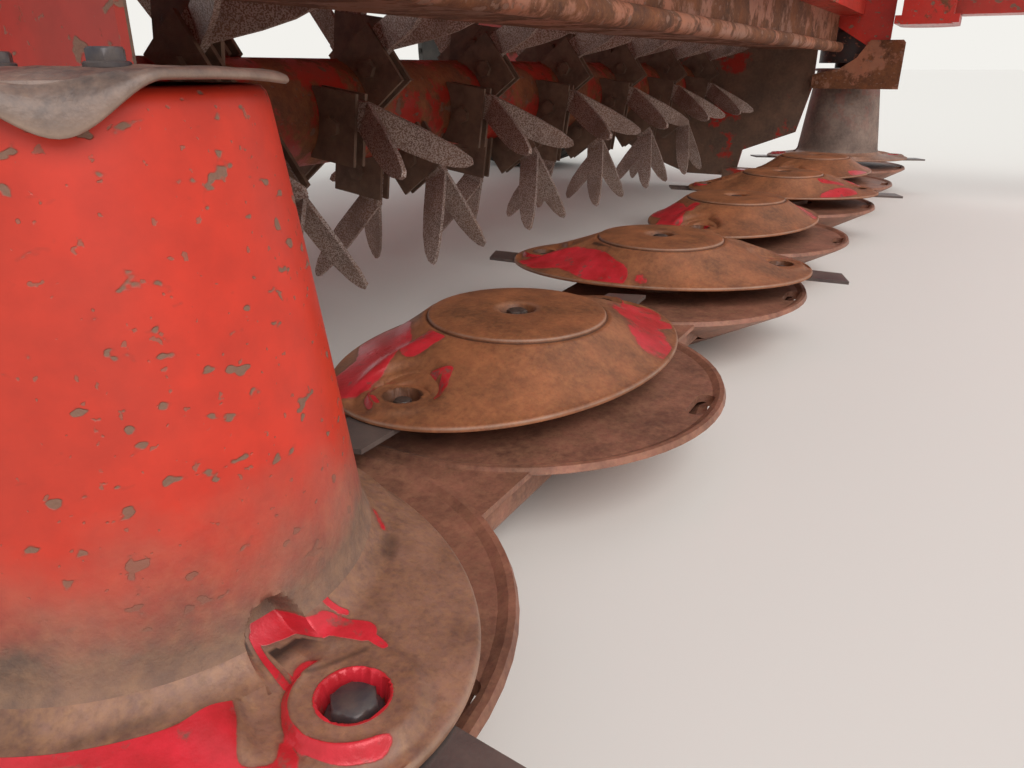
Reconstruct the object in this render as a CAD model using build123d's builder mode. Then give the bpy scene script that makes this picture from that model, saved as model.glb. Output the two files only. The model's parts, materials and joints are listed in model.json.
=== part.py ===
from build123d import *
import math
import os

os.makedirs("parts", exist_ok=True)

# Trailed side-pull disc mower conditioner, standing parked on its skid shoes, wheels and jack.
# Millimetres. +Z up, ground at z = 0, travel towards -Y, the machine's left side at +X.
# The origin is on the ground, under the middle of the machine's box.

# Seats and running gaps
seat = 0.3
fit = 0.05

# Cutting row: a flat gear case with a drum at each end and oval discs between
rotor_count = 7
disc_pitch = 400
row_half = disc_pitch * (rotor_count - 1) / 2

# The crop's way in lies between the two drums
drum_inset = 100
mouth_half = row_half - drum_inset
side_thick = 8

# Reaches from the disc line, which place the origin at the middle of the box
wheel_axle_y = 1150
wheel_r = 422
hitch_pin_y = -2950
hitch_nose_r = 48
rear_reach = wheel_axle_y + wheel_r
front_reach = hitch_nose_r - hitch_pin_y
row_y = (front_reach - rear_reach) / 2

# Gear case and skid shoes
shoe_plate = 8
shoe_top = 75
shoe_r = 196
shoe_sole_r = 70
shoe_lip = 6
shoe_web_front = 103
shoe_slot_y = -176
shoe_slot_half = 16
bar_bottom = 26
bar_front = 92
bar_rear = 100
bar_end = 105
bearing_r = 60
bearing_top = 80

# Oval discs
disc_half_length = 200
disc_half_width = 137
disc_rim_z = 96
disc_rim = 5
disc_shoulder_r = 92
disc_shoulder_z = 132
disc_cap_r = 83
disc_cap_z = 140
disc_hub_r = 52
disc_recess_r = 18
disc_bolt_head = 18
dish_reach = 155
dish_r = 19
dish_ring_r = 36
dish_ring_wall = 6
dish_ring_top = 121
knife_bolt_r = 8
knife_bolt_head = 19
knife_nut_r = 15

# Knives
knife_width = 48
knife_thick = 4
knife_length = 93
knife_hole_gap = 0.5

# Drums
drum_foot_r = 113
drum_foot_z = 126
drum_top_r = 86
drum_top_z = 339
drum_cap_r = 95
drum_cap_top = 346
drum_cap_bolt_r = 62
drum_cap_bolt_head = 12
drum_cap_bolt_turn = 77
drum_lobe_turn = -124.5
drum_lobe_half = 34
drum_lobe_drop = 18
# Outline of a lobe's bent edge: share of its half width, share of its drop
drum_lobe = (
    (-1, 0), (1, 0), (0.66, 0.25), (0.4, 0.66), (0.18, 0.94), (0, 1), (-0.18, 0.94), (-0.4, 0.66),
    (-0.66, 0.25))
drum_flange_r = 130
drum_flange_z = 109

# Conditioner rotor, across the machine behind the discs
rotor_y = 450
rotor_z = 290
rotor_tube_r = 68
tine_tip_r = 250
rotor_half = mouth_half - 30
rotor_shaft_r = 30
bracket_pitch = mouth_half * 3 / 11
ear_bolt_head = 22
ear_bolt_height = 7
ear_thick = 5
ear_width = 88
ear_reach = 126
tine_width = 36
tine_thick = 6
tine_root_r = 84
tine_bend_r = 134
tine_lead = 18
tine_splay = 30
tine_rake = 22
tine_end_gap = 12
# Leaf outline of a leg: share of its length, share of half the width
tine_leaf = (
    (-0.04, -1), (0.4, -1), (0.66, -0.86), (0.85, -0.52), (0.96, -0.1), (1, 0.3), (0.97, 0.6), (0.8, 0.86),
    (0.5, 1), (-0.04, 1))

# Conditioner side plates and the sheets between them
foot_inset = 60
lip_y = 20
lip_z = 400
lip_r = 13
sheet = 4
hood_gap = 18
hood_tail_y = 1250
hood_tail_z = 560
hood_crest_y = 900
hood_crest_z = 640
hood_rib_wide = 40
hood_rib_high = 14
hood_rib_share = (-0.8, -0.4, 0, 0.4, 0.8)

# Header cross beam
beam_front_y = -32
beam_rear_y = 195
beam_bottom_z = 480
beam_top_z = 600
beam_end_front = -108
beam_end_low = 398

# Carriage frame
tube = 140
link_front_y = 300
link_front_z = 560
link_x = mouth_half + side_thick + seat
cross_y = 700
cross_z = 1030
leg_x = mouth_half + 50
leg_wide = 50
leg_deep = 120
arm_pivot_y = 700
arm_pivot_z = 620
arm_pin_r = 25

# Wheels
wheel_x = leg_x + 195
wheel_width = 290
rim_r = 195
rim_width = 230
axle_r = 30

# Wheel lift cylinders, in the plane of the wheel arms
lift_base_y = 802
lift_base_z = 1010
lift_eye_y = 960
lift_eye_z = 590

lift_rod_out = 130
lift_bore_r = 26
barrel_neck = 56

# Drawbar with its swing pivot, left of the cutting row
swing_x = row_half + 40
swing_y = -190
swing_boss_r = 70
swing_pin_r = 30
drawbar_bottom = 480
drawbar_top = 620
drawbar_wide = 120
fork_gap = 6
fork_thick = 20
hitch_pin_r = 16
swing_cyl_z = 700
swing_base_x = swing_x - 310
swing_base_y = -230
swing_eye_x = swing_x - 105
swing_eye_y = -760
swing_rod_out = 170
swing_bore_r = 22
swing_lug_gap = 35
swing_lug_half = 30

# Drive line above the drawbar
shaft_z = 780
shaft_r = 45
pto_stub_r = 17.4
column_r = 58
shaft_front = -2700
shaft_rear = -250
shaft_stands = (-2600, -1700, -900, -420)

# Belt drive down to the rotor
belt_top_y = 170
belt_top_z = 620

# Relief springs from the header beam up to the cross tube
spring_x = 760
spring_foot_y = 100
spring_foot_z = 640
spring_head_y = 596
spring_head_z = 1000
spring_hook = 90
spring_r = 32

# Lamp bar
lamp_bar_y = 1250

# Parking jack on the drawbar
jack_x = swing_x - 110
jack_y = -2450
jack_tube_r = 38
jack_tube_bottom = 330
jack_leg_r = 30

# Front guard, folded up on its hinge
guard_left_x = row_half - 350
guard_right_x = -(row_half + 240)
guard_depth = 520
guard_lip = 120
guard_rib_deep = 26
guard_rib_share = (0.03, 0.28, 0.62, 0.93)
guard_hinge_y = -50
guard_hinge_z = 625
guard_hinges = (guard_right_x + 440, -300, 300, guard_left_x - 70)

# Swath doors
door_hinge_y = 790
door_length = 440
door_bottom = 240
door_top = 520
door_inset = 22

Y = row_y


def block(x, y, z, mode=Mode.ADD):
    """A box between two limits on each axis."""
    centre = ((x[0] + x[1]) / 2, (y[0] + y[1]) / 2, (z[0] + z[1]) / 2)
    with Locations(centre):
        Box(abs(x[1] - x[0]), abs(y[1] - y[0]), abs(z[1] - z[0]), mode=mode)


def bar_x(radius, x, y, z, mode=Mode.ADD):
    """A round bar along X between two x limits."""
    with Locations(Location(((x[0] + x[1]) / 2, y, z), (0, 90, 0))):
        Cylinder(radius, abs(x[1] - x[0]), mode=mode)


def bar_y(radius, x, y, z, mode=Mode.ADD):
    """A round bar along Y between two y limits."""
    with Locations(Location((x, (y[0] + y[1]) / 2, z), (90, 0, 0))):
        Cylinder(radius, abs(y[1] - y[0]), mode=mode)


def bar_z(radius, x, y, z, mode=Mode.ADD):
    """A round bar along Z between two z limits."""
    with Locations((x, y, (z[0] + z[1]) / 2)):
        Cylinder(radius, abs(z[1] - z[0]), mode=mode)


def side_plate(x, thick, outline):
    """A flat plate that faces X, from x over thick, with its outline in (y, z)."""
    with BuildSketch(Plane.YZ.offset(x)) as face:
        Polygon(*[(Y + y, z) for y, z in outline], align=None)
    extrude(face.sketch, amount=thick)


def rotor_plane(x, turn, height):
    """A level plane on a disc's axis, its x direction along the oval's long axis."""
    direction = (math.cos(math.radians(turn)), math.sin(math.radians(turn)), 0)
    return Plane(origin=(x, Y, height), x_dir=direction, z_dir=(0, 0, 1))


def radial_plane(x):
    """The upright plane through a disc's axis, for profiles in (radius, z)."""
    return Plane(origin=(x, Y, 0), x_dir=(1, 0, 0), z_dir=(0, -1, 0))


# Gear case: flat box with rounded nose, a bearing flange under each rotor
with BuildPart() as cutter_bar:
    bar_z0 = bar_bottom
    bar_z1 = shoe_top - shoe_plate
    block((-row_half - bar_end, row_half + bar_end), (Y - bar_front, Y + bar_rear), (bar_z0, bar_z1))
    fillet(cutter_bar.edges().filter_by(Axis.X), 18)
    with Locations(*[(-row_half + disc_pitch * i, Y, bar_z1) for i in range(rotor_count)]):
        Cylinder(bearing_r, bearing_top - bar_z1, align=(Align.CENTER, Align.CENTER, Align.MIN))
cutter_bar.part.label = "cutter_bar"
export_step(cutter_bar.part, "parts/cutter_bar.step")

# Skid shoes: a pressed saucer round the nose of each station, open at the back, with webs between them
row_end = row_half + shoe_r + 100
with BuildPart() as skid_shoes:
    for i in range(rotor_count):
        x = -row_half + disc_pitch * i
        with BuildSketch(radial_plane(x)):
            with BuildLine():
                Polyline(
                    (0, 0), (shoe_sole_r, 0), (shoe_r - shoe_lip, shoe_top - 9), (shoe_r, shoe_top - 5),
                    (shoe_r - 2, shoe_top), (shoe_r - shoe_lip, shoe_top),
                    (shoe_r - 2 * shoe_lip, shoe_top - 3), (bearing_r + 8, shoe_top - 1),
                    (bearing_r + 8, shoe_top - shoe_plate), (shoe_r - 16, shoe_top - shoe_plate - 2),
                    (shoe_sole_r + 8, shoe_plate), (0, shoe_plate), close=True)
            make_face()
        revolve(axis=Axis((x, Y, 0), (0, 0, 1)))
    for i in range(rotor_count - 1):
        middle = -row_half + disc_pitch * (i + 0.5)
        block((middle - disc_pitch / 2 + bearing_r + 20, middle + disc_pitch / 2 - bearing_r - 20),
              (Y - shoe_web_front, Y + bar_front), (shoe_top - shoe_plate, shoe_top - 3))
    block((-row_end, row_end), (Y + bar_front, Y + shoe_r + 10), (-10, 120), Mode.SUBTRACT)
    block((-row_end, row_end), (Y - bar_front, Y + bar_rear),
          (bar_bottom, shoe_top - shoe_plate), Mode.SUBTRACT)
    for i in range(rotor_count):
        x = -row_half + disc_pitch * i
        bar_z(bearing_r + seat, x, Y, (bar_bottom, shoe_top + 10), Mode.SUBTRACT)
        with BuildSketch(Plane.XY.offset(shoe_top - shoe_plate - 6)):
            with Locations((x + shoe_slot_half, Y + shoe_slot_y)):
                SlotOverall(3 * shoe_slot_half, shoe_slot_half)
        extrude(amount=2 * shoe_plate, mode=Mode.SUBTRACT)
skid_shoes.part.label = "skid_shoes"
export_step(skid_shoes.part, "parts/skid_shoes.step")

# Rotors of the row: name, station, turn of the long axis and swing of its knives on their bolts
row_table = [
    ("drum_right", 0, 80, 4),
    ("disc_1", 1, -7, 6),
    ("disc_2", 2, -72, -17),
    ("disc_3", 3, -7, 0),
    ("disc_4", 4, -74, -9),
    ("disc_5", 5, -9, 4),
    ("drum_left", 6, -74, 3),
]

for name, station, turn, knife_swing in row_table:
    x = -row_half + disc_pitch * station
    is_drum = name.startswith("drum")
    with BuildPart() as rotor:
        with BuildSketch(rotor_plane(x, turn, disc_rim_z)):
            Ellipse(disc_half_length, disc_half_width)
        extrude(amount=disc_rim)
        with BuildSketch(rotor_plane(x, turn, disc_rim_z + disc_rim)):
            Ellipse(disc_half_length - 6, disc_half_width - 6)
        if is_drum:
            with BuildSketch(rotor_plane(x, turn, drum_flange_z)):
                Circle(drum_flange_r)
        else:
            with BuildSketch(rotor_plane(x, turn, disc_shoulder_z)):
                Circle(disc_shoulder_r)
        loft()
        with BuildSketch(radial_plane(x)):
            with BuildLine():
                if is_drum:
                    ThreePointArc(
                        (drum_flange_r, drum_flange_z), (drum_foot_r + 6, drum_flange_z + 5),
                        (drum_foot_r, drum_foot_z))
                    Polyline(
                        (drum_foot_r, drum_foot_z), (drum_top_r, drum_top_z), (drum_cap_r, drum_top_z),
                        (drum_cap_r, drum_cap_top - 3), (drum_cap_r - 3, drum_cap_top), (0, drum_cap_top),
                        (0, drum_flange_z - 4), (drum_flange_r, drum_flange_z - 4),
                        (drum_flange_r, drum_flange_z))
                else:
                    Polyline(
                        (0, disc_shoulder_z - 4), (disc_shoulder_r - 4, disc_shoulder_z),
                        (disc_cap_r, disc_shoulder_z), (disc_cap_r - 1, disc_cap_z - 4),
                        (disc_cap_r / 2, disc_cap_z - 1), (disc_recess_r, disc_cap_z - 1),
                        (disc_recess_r - 6, disc_cap_z - 6), (0, disc_cap_z - 6), close=True)
            make_face()
        revolve(axis=Axis((x, Y, 0), (0, 0, 1)))
        if not is_drum:
            with BuildSketch(rotor_plane(x, turn, disc_rim_z)):
                Circle(disc_half_width - 27)
            with BuildSketch(rotor_plane(x, turn, disc_shoulder_z - 12)):
                Circle(disc_shoulder_r - 20)
            loft(mode=Mode.SUBTRACT)
            with BuildSketch(rotor_plane(x, turn, disc_cap_z - 7)):
                RegularPolygon(disc_bolt_head / 2, 6, major_radius=False)
            extrude(amount=8)
        hub_top = drum_flange_z - 2 if is_drum else disc_shoulder_z - 10
        bar_z(disc_hub_r, x, Y, (bearing_top + seat, hub_top))
        with BuildSketch(rotor_plane(x, turn, disc_rim_z + disc_rim)):
            for end in (-1, 1):
                with Locations((end * dish_reach, 0)):
                    Circle(dish_ring_r)
                    Circle(dish_ring_r - dish_ring_wall, mode=Mode.SUBTRACT)
                with Locations((end * (dish_reach + dish_ring_r), 0)):
                    Rectangle(1.4 * dish_ring_r, 3 * dish_ring_r, mode=Mode.SUBTRACT)
        extrude(amount=dish_ring_top - disc_rim_z - disc_rim)
        with BuildSketch(rotor_plane(x, turn, disc_rim_z + disc_rim)):
            with Locations((dish_reach, 0), (-dish_reach, 0)):
                Circle(dish_r)
        extrude(amount=60, mode=Mode.SUBTRACT)
        with BuildSketch(rotor_plane(x, turn, disc_rim_z + disc_rim)):
            with Locations((dish_reach, 0), (-dish_reach, 0)):
                RegularPolygon(knife_bolt_head / 2, 6, major_radius=False)
        extrude(amount=8)
        nut_top = disc_rim_z - knife_thick - 2 * seat
        with BuildSketch(rotor_plane(x, turn, nut_top)):
            with Locations((dish_reach, 0), (-dish_reach, 0)):
                Circle(knife_bolt_r)
        extrude(amount=disc_rim_z - nut_top)
        with BuildSketch(rotor_plane(x, turn, nut_top)):
            with Locations((dish_reach, 0), (-dish_reach, 0)):
                Circle(knife_nut_r)
        extrude(amount=-7)
        if name == "drum_right":
            with BuildSketch(rotor_plane(x, drum_cap_bolt_turn, drum_cap_top)):
                with PolarLocations(drum_cap_bolt_r, 2):
                    RegularPolygon(drum_cap_bolt_head / 2, 6, major_radius=False)
            extrude(amount=drum_cap_bolt_head / 2)
            for lobe_turn in (drum_lobe_turn, drum_lobe_turn + 180):
                out = Vector(math.cos(math.radians(lobe_turn)), math.sin(math.radians(lobe_turn)), 0)
                root = Vector(x, Y, drum_top_z + 2) + out * (drum_cap_r - 6)
                with BuildSketch(Plane(origin=root, x_dir=Vector(0, 0, 1).cross(out), z_dir=out)):
                    Polygon(*[(u * drum_lobe_half, -v * drum_lobe_drop) for u, v in drum_lobe], align=None)
                extrude(amount=5)
    rotor.part.label = name
    export_step(rotor.part, f"parts/{name}.step")

    with BuildPart() as knives:
        knife_z = disc_rim_z - knife_thick - seat
        for end in (0, 180):
            bolt = rotor_plane(x, turn + end, knife_z).from_local_coords(Vector(dish_reach, 0, 0))
            aim = math.radians(turn + end + knife_swing)
            with BuildSketch(Plane(origin=bolt, x_dir=(math.cos(aim), math.sin(aim), 0), z_dir=(0, 0, 1))):
                with BuildLine():
                    Polyline(
                        (0, -knife_width / 2), (knife_length, -knife_width / 2 + 6),
                        (knife_length - 14, knife_width / 2), (0, knife_width / 2))
                    ThreePointArc((0, knife_width / 2), (-knife_width / 2, 0), (0, -knife_width / 2))
                make_face()
                Circle(knife_bolt_r + knife_hole_gap, mode=Mode.SUBTRACT)
            extrude(amount=knife_thick)
    knives.part.label = f"knives_{name}"
    export_step(knives.part, f"parts/knives_{name}.step")

# Conditioner rotor tube with the ears of its tine brackets
# Rows round the tube: angle up from straight ahead, shift along the tube as a share of the pitch
tine_rows = [
    (37, 0.27), (-8, 0.94), (-53, 0.63), (-98, 0.48),
    (-143, 0.21), (172, 0.95), (127, 0.70), (82, 0.45),
]
splay = math.radians(tine_splay)
rake = math.radians(tine_rake)
bend_out = tine_bend_r * math.cos(rake) - tine_lead * math.sin(rake)
bend_room = (tine_tip_r - 2) ** 2 - tine_bend_r ** 2 - tine_lead ** 2
leg_length = (math.sqrt(bend_out ** 2 + bend_room) - bend_out) / math.cos(splay)


def bracket_places():
    """Angle and x of each tine bracket whose legs stay inside the side plates, row by row."""
    reach = mouth_half - tine_end_gap - tine_thick - leg_length * math.sin(splay)
    columns = range(-4, 4)
    places = [(angle, (column + share) * bracket_pitch) for angle, share in tine_rows for column in columns]
    return [(angle, x) for angle, x in places if abs(x) < reach]


def bracket_location(angle, x):
    """A frame on the rotor's axis whose z points out along the bracket."""
    return Location((x, Y + rotor_y, rotor_z), (90 - angle, 0, 0))


ear_root = rotor_tube_r - 12
half_gap = tine_thick + seat
with BuildPart() as ears:
    for side in (-1, 1):
        with Locations((side * (half_gap + ear_thick / 2), 0, (ear_root + ear_reach) / 2)):
            Box(ear_thick, ear_width, ear_reach - ear_root)
        with BuildSketch(Plane.YZ.offset(side * (half_gap + ear_thick))):
            with Locations((0, (rotor_tube_r + ear_reach) / 2 - 6)):
                RegularPolygon(ear_bolt_head / 2, 6, major_radius=False)
        extrude(amount=side * ear_bolt_height)

with BuildPart() as rotor_tube:
    bar_x(rotor_tube_r, (-rotor_half, rotor_half), Y + rotor_y, rotor_z)
    bar_x(rotor_shaft_r, (-mouth_half - 50, mouth_half + 50), Y + rotor_y, rotor_z)
    add([ears.part.moved(bracket_location(angle, x)) for angle, x in bracket_places()])
rotor_tube.part.label = "rotor_tube"
export_step(rotor_tube.part, "parts/rotor_tube.step")

# V tines: a root between the ears and two splayed legs that rake back
half_width = tine_width / 2
elbow = half_width * math.tan(rake / 2)
with BuildPart() as tine_pair:
    with BuildSketch(Plane.YZ.offset(-tine_thick)):
        Polygon(
            (tine_lead - half_width, tine_root_r), (tine_lead + half_width, tine_root_r),
            (tine_lead + half_width, tine_bend_r + elbow), (tine_lead - half_width, tine_bend_r - elbow),
            align=None)
    extrude(amount=2 * tine_thick)
    for side in (-1, 1):
        leg_plane = Plane(
            origin=(side * tine_thick, tine_lead, tine_bend_r), x_dir=(0, math.cos(rake), math.sin(rake)),
            z_dir=(-side * math.cos(splay), -math.sin(splay) * math.sin(rake),
                   math.sin(splay) * math.cos(rake)))
        along = 1 if leg_plane.y_dir.Z > 0 else -1
        with BuildSketch(leg_plane):
            Polygon(*[(u * half_width, along * t * leg_length) for t, u in tine_leaf], align=None)
        extrude(amount=tine_thick)
with BuildPart() as rotor_tines:
    add([tine_pair.part.moved(bracket_location(angle, x)) for angle, x in bracket_places()])
rotor_tines.part.label = "rotor_tines"
export_step(rotor_tines.part, "parts/rotor_tines.step")

# Side plates of the conditioner with the foot that bolts to the gear case and the rotor bearing
side_outline = [
    (78, 300), (110, 170), (260, 112), (270, 63), (270, 34), (430, 34), (590, 90), (806, 215), (812, 520),
    (812, 640), (560, 700), (200, 640), (195, 425), (78, 425),
]
for name, side in (("side_plate_right", -1), ("side_plate_left", 1)):
    with BuildPart() as plate:
        side_plate(side * mouth_half, side * side_thick, side_outline)
        block((side * (mouth_half - foot_inset), side * (mouth_half + side_thick)),
              (Y + bar_rear, Y + 3 * bar_rear), (30, 60))
        bar_x(70, (side * mouth_half, side * (mouth_half + side_thick + 26)), Y + rotor_y, rotor_z)
        bar_x(rotor_shaft_r + fit, (side * (mouth_half - 5), side * (mouth_half + 60)),
              Y + rotor_y, rotor_z, Mode.SUBTRACT)
        for z0 in (door_bottom - 10 - seat - 14, door_top + 20 + seat):
            block((side * (mouth_half - door_inset - 10), side * (mouth_half + 2)),
                  (Y + door_hinge_y - 14, Y + door_hinge_y + 12), (z0, z0 + 14))
    plate.part.label = name
    export_step(plate.part, f"parts/{name}.step")

# Guard plate that hangs between the left drum and the next disc
guard_outline = [
    (-148, 292), (74, 292), (80, 300), (80, 330), (10, 345), (-30, 372), (-60, 417), (-142, 417),
    (-148, 410),
]
with BuildPart() as drum_guard:
    side_plate(mouth_half - 20, side_thick, guard_outline)
drum_guard.part.label = "drum_guard"
export_step(drum_guard.part, "parts/drum_guard.step")

# Header beam: wide box across the top front, with an end plate each side that holds the guards
with BuildPart() as header_beam:
    block((-mouth_half + 12, mouth_half - 12), (Y + beam_front_y, Y + beam_rear_y),
          (beam_bottom_z, beam_top_z))
    for x0 in guard_hinges:
        for ear in (-38 - seat, 30 + seat):
            block((x0 + ear, x0 + ear + 8), (Y + guard_hinge_y - 13, Y + beam_front_y + 20),
                  (beam_top_z - 10, guard_hinge_z + 13))
    for side in (-1, 1):
        for lug in (-20, 12):
            block((side * spring_x + lug, side * spring_x + lug + 8),
                  (Y + spring_foot_y - 25, Y + spring_foot_y + 25), (beam_top_z, spring_foot_z + 20))
        bar_x(10, (side * spring_x - 20, side * spring_x + 20), Y + spring_foot_y, spring_foot_z)
        side_plate(side * (mouth_half - 12), side * (12 - seat), [
            (beam_end_front, beam_end_low), (-60, beam_end_low), (60, beam_bottom_z - 10),
            (beam_rear_y - 1, beam_bottom_z - 10), (beam_rear_y - 1, beam_top_z + 18), (-60, beam_top_z + 18),
            (beam_end_front, beam_top_z - 40)])
header_beam.part.label = "header_beam"
export_step(header_beam.part, "parts/header_beam.step")

# Deflector: rolled lip, level underside sheet and front sheet up to the beam
hood_r = tine_tip_r + hood_gap
hood_start = math.degrees(math.acos((lip_z - rotor_z) / hood_r))
deflector_rear = rotor_y - math.sqrt(hood_r ** 2 - (lip_z - rotor_z) ** 2)
with BuildPart() as deflector:
    bar_x(lip_r, (-mouth_half + 25, mouth_half - 25), Y + lip_y, lip_z)
    block((-mouth_half + 25, mouth_half - 25), (Y + lip_y, Y + deflector_rear - seat),
          (lip_z - sheet, lip_z))
    block((-mouth_half + 25, mouth_half - 25), (Y + lip_y + 8, Y + lip_y + 8 + sheet),
          (lip_z - sheet, beam_bottom_z - seat))
deflector.part.label = "deflector"
export_step(deflector.part, "parts/deflector.step")

# Hood over the rotor: an arc round the tines, then a tail to the rear
with BuildPart() as hood:
    with BuildSketch(Plane.YZ.offset(-mouth_half + seat)):
        with BuildLine():
            arc = CenterArc((Y + rotor_y, rotor_z), hood_r, 90, hood_start)
            Polyline(
                (Y + rotor_y, rotor_z + hood_r), (Y + hood_crest_y, hood_crest_z),
                (Y + hood_tail_y, hood_tail_z), (Y + hood_tail_y, hood_tail_z + sheet),
                (Y + hood_crest_y, hood_crest_z + sheet), (Y + rotor_y, rotor_z + hood_r + sheet))
            arc_out = CenterArc((Y + rotor_y, rotor_z), hood_r + sheet, 90, hood_start)
            Line(arc @ 1, arc_out @ 1)
        make_face()
    extrude(amount=2 * (mouth_half - seat))
    rib_top = hood_rib_high + sheet
    for share in hood_rib_share:
        side_plate(share * mouth_half - hood_rib_wide / 2, hood_rib_wide, [
            (rotor_y + 20, rotor_z + hood_r + 6), (rotor_y + 50, rotor_z + hood_r + rib_top + 8),
            (hood_crest_y, hood_crest_z + rib_top), (hood_tail_y - 60, hood_tail_z + rib_top + 14),
            (hood_tail_y - 30, hood_tail_z + 9), (hood_crest_y, hood_crest_z + 2)])
hood.part.label = "hood"
export_step(hood.part, "parts/hood.step")

# Carriage frame: cross tube, leg at each side, left arm forward to the drawbar pivot
arm_x0 = swing_x - 210
arm_x1 = swing_x - 110
cross_end = leg_x + leg_wide / 2
with BuildPart() as carriage_frame:
    block((-cross_end, cross_end), (Y + cross_y - tube / 2, Y + cross_y + tube / 2),
          (cross_z - tube / 2, cross_z + tube / 2))
    for side in (-1, 1):
        block((side * (cross_end - leg_wide), side * cross_end),
              (Y + cross_y - leg_deep / 2, Y + cross_y + leg_deep / 2),
              (arm_pivot_z - 70, cross_z))
    side_plate(arm_x0, arm_x1 - arm_x0, [
        (cross_y, cross_z + 50), (cross_y, cross_z - 50), (swing_y + 60, 860), (swing_y + 60, 452),
        (swing_y - 60, 452), (swing_y - 60, 940), (swing_y, 960)])
    for z0 in (drawbar_bottom - fork_gap - fork_thick, drawbar_top + fork_gap):
        block((arm_x0, swing_x), (Y + swing_y - 75, Y + swing_y + 75), (z0, z0 + fork_thick))
        bar_z(75, swing_x, Y + swing_y, (z0, z0 + fork_thick))
    bar_z(swing_pin_r, swing_x, Y + swing_y,
          (drawbar_bottom - fork_gap - fork_thick, drawbar_top + fork_gap + fork_thick + 10))
    for z0 in (swing_cyl_z - swing_lug_gap - 15, swing_cyl_z + swing_lug_gap):
        block((swing_base_x - 30, arm_x0), (Y + swing_base_y - 30, Y + swing_base_y + 60), (z0, z0 + 15))
    bar_z(14, swing_base_x, Y + swing_base_y,
          (swing_cyl_z - swing_lug_gap - 10, swing_cyl_z + swing_lug_gap + 10))
    for side in (-1, 1):
        for x0 in (cross_end - leg_wide, cross_end - 12):
            side_plate(side * x0, side * 12, [
                (cross_y, cross_z - 60), (lift_base_y, lift_base_z - 30), (lift_base_y + 30, lift_base_z),
                (lift_base_y + 20, lift_base_z + 30), (cross_y, cross_z + 60)])
        bar_x(14, (side * (cross_end - leg_wide), side * cross_end), Y + lift_base_y, lift_base_z)
        bar_x(arm_pin_r + fit, (side * (cross_end - leg_wide - 2), side * (cross_end + 2)),
              Y + arm_pivot_y, arm_pivot_z, Mode.SUBTRACT)
        for lug in (-20, 12):
            block((side * spring_x + lug, side * spring_x + lug + 8),
                  (Y + spring_head_y - 20, Y + cross_y - tube / 2), (spring_head_z - 22, spring_head_z + 22))
        bar_x(10, (side * spring_x - 20, side * spring_x + 20), Y + spring_head_y, spring_head_z)
carriage_frame.part.label = "carriage_frame"
export_step(carriage_frame.part, "parts/carriage_frame.step")

# Wheel arms: a plate arm from the pivot pin back to the stub axle, with the cylinder's ears
arm_in = cross_end - leg_wide
for name, side in (("wheel_arm_right", -1), ("wheel_arm_left", 1)):
    with BuildPart() as arm:
        bar_x(arm_pin_r, (side * (arm_in - 8), side * (cross_end + 8)), Y + arm_pivot_y, arm_pivot_z)
        for x0 in (arm_in - 14, cross_end + 2):
            side_plate(side * x0, side * 12, [
                (arm_pivot_y - 45, arm_pivot_z + 30), (arm_pivot_y - 20, arm_pivot_z + 50),
                (arm_pivot_y + 40, arm_pivot_z + 45), (lift_eye_y + 10, lift_eye_z + 40),
                (lift_eye_y + 45, lift_eye_z + 10), (wheel_axle_y + 30, wheel_r + 50),
                (wheel_axle_y + 55, wheel_r - 20), (wheel_axle_y - 10, wheel_r - 50),
                (lift_eye_y - 50, lift_eye_z - 80), (arm_pivot_y - 45, arm_pivot_z - 40)])
        block((side * (arm_in - 14), side * (cross_end + 14)),
              (Y + wheel_axle_y - 130, Y + wheel_axle_y - 60), (wheel_r - 20, wheel_r + 45))
        bar_x(14, (side * (arm_in - 14), side * (cross_end + 14)), Y + lift_eye_y, lift_eye_z)
        bar_x(45, (side * (arm_in - 14), side * (cross_end + 30)), Y + wheel_axle_y, wheel_r)
        bar_x(axle_r, (side * (cross_end + 30), side * (wheel_x + 40)), Y + wheel_axle_y, wheel_r)
    arm.part.label = name
    export_step(arm.part, f"parts/{name}.step")

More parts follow.
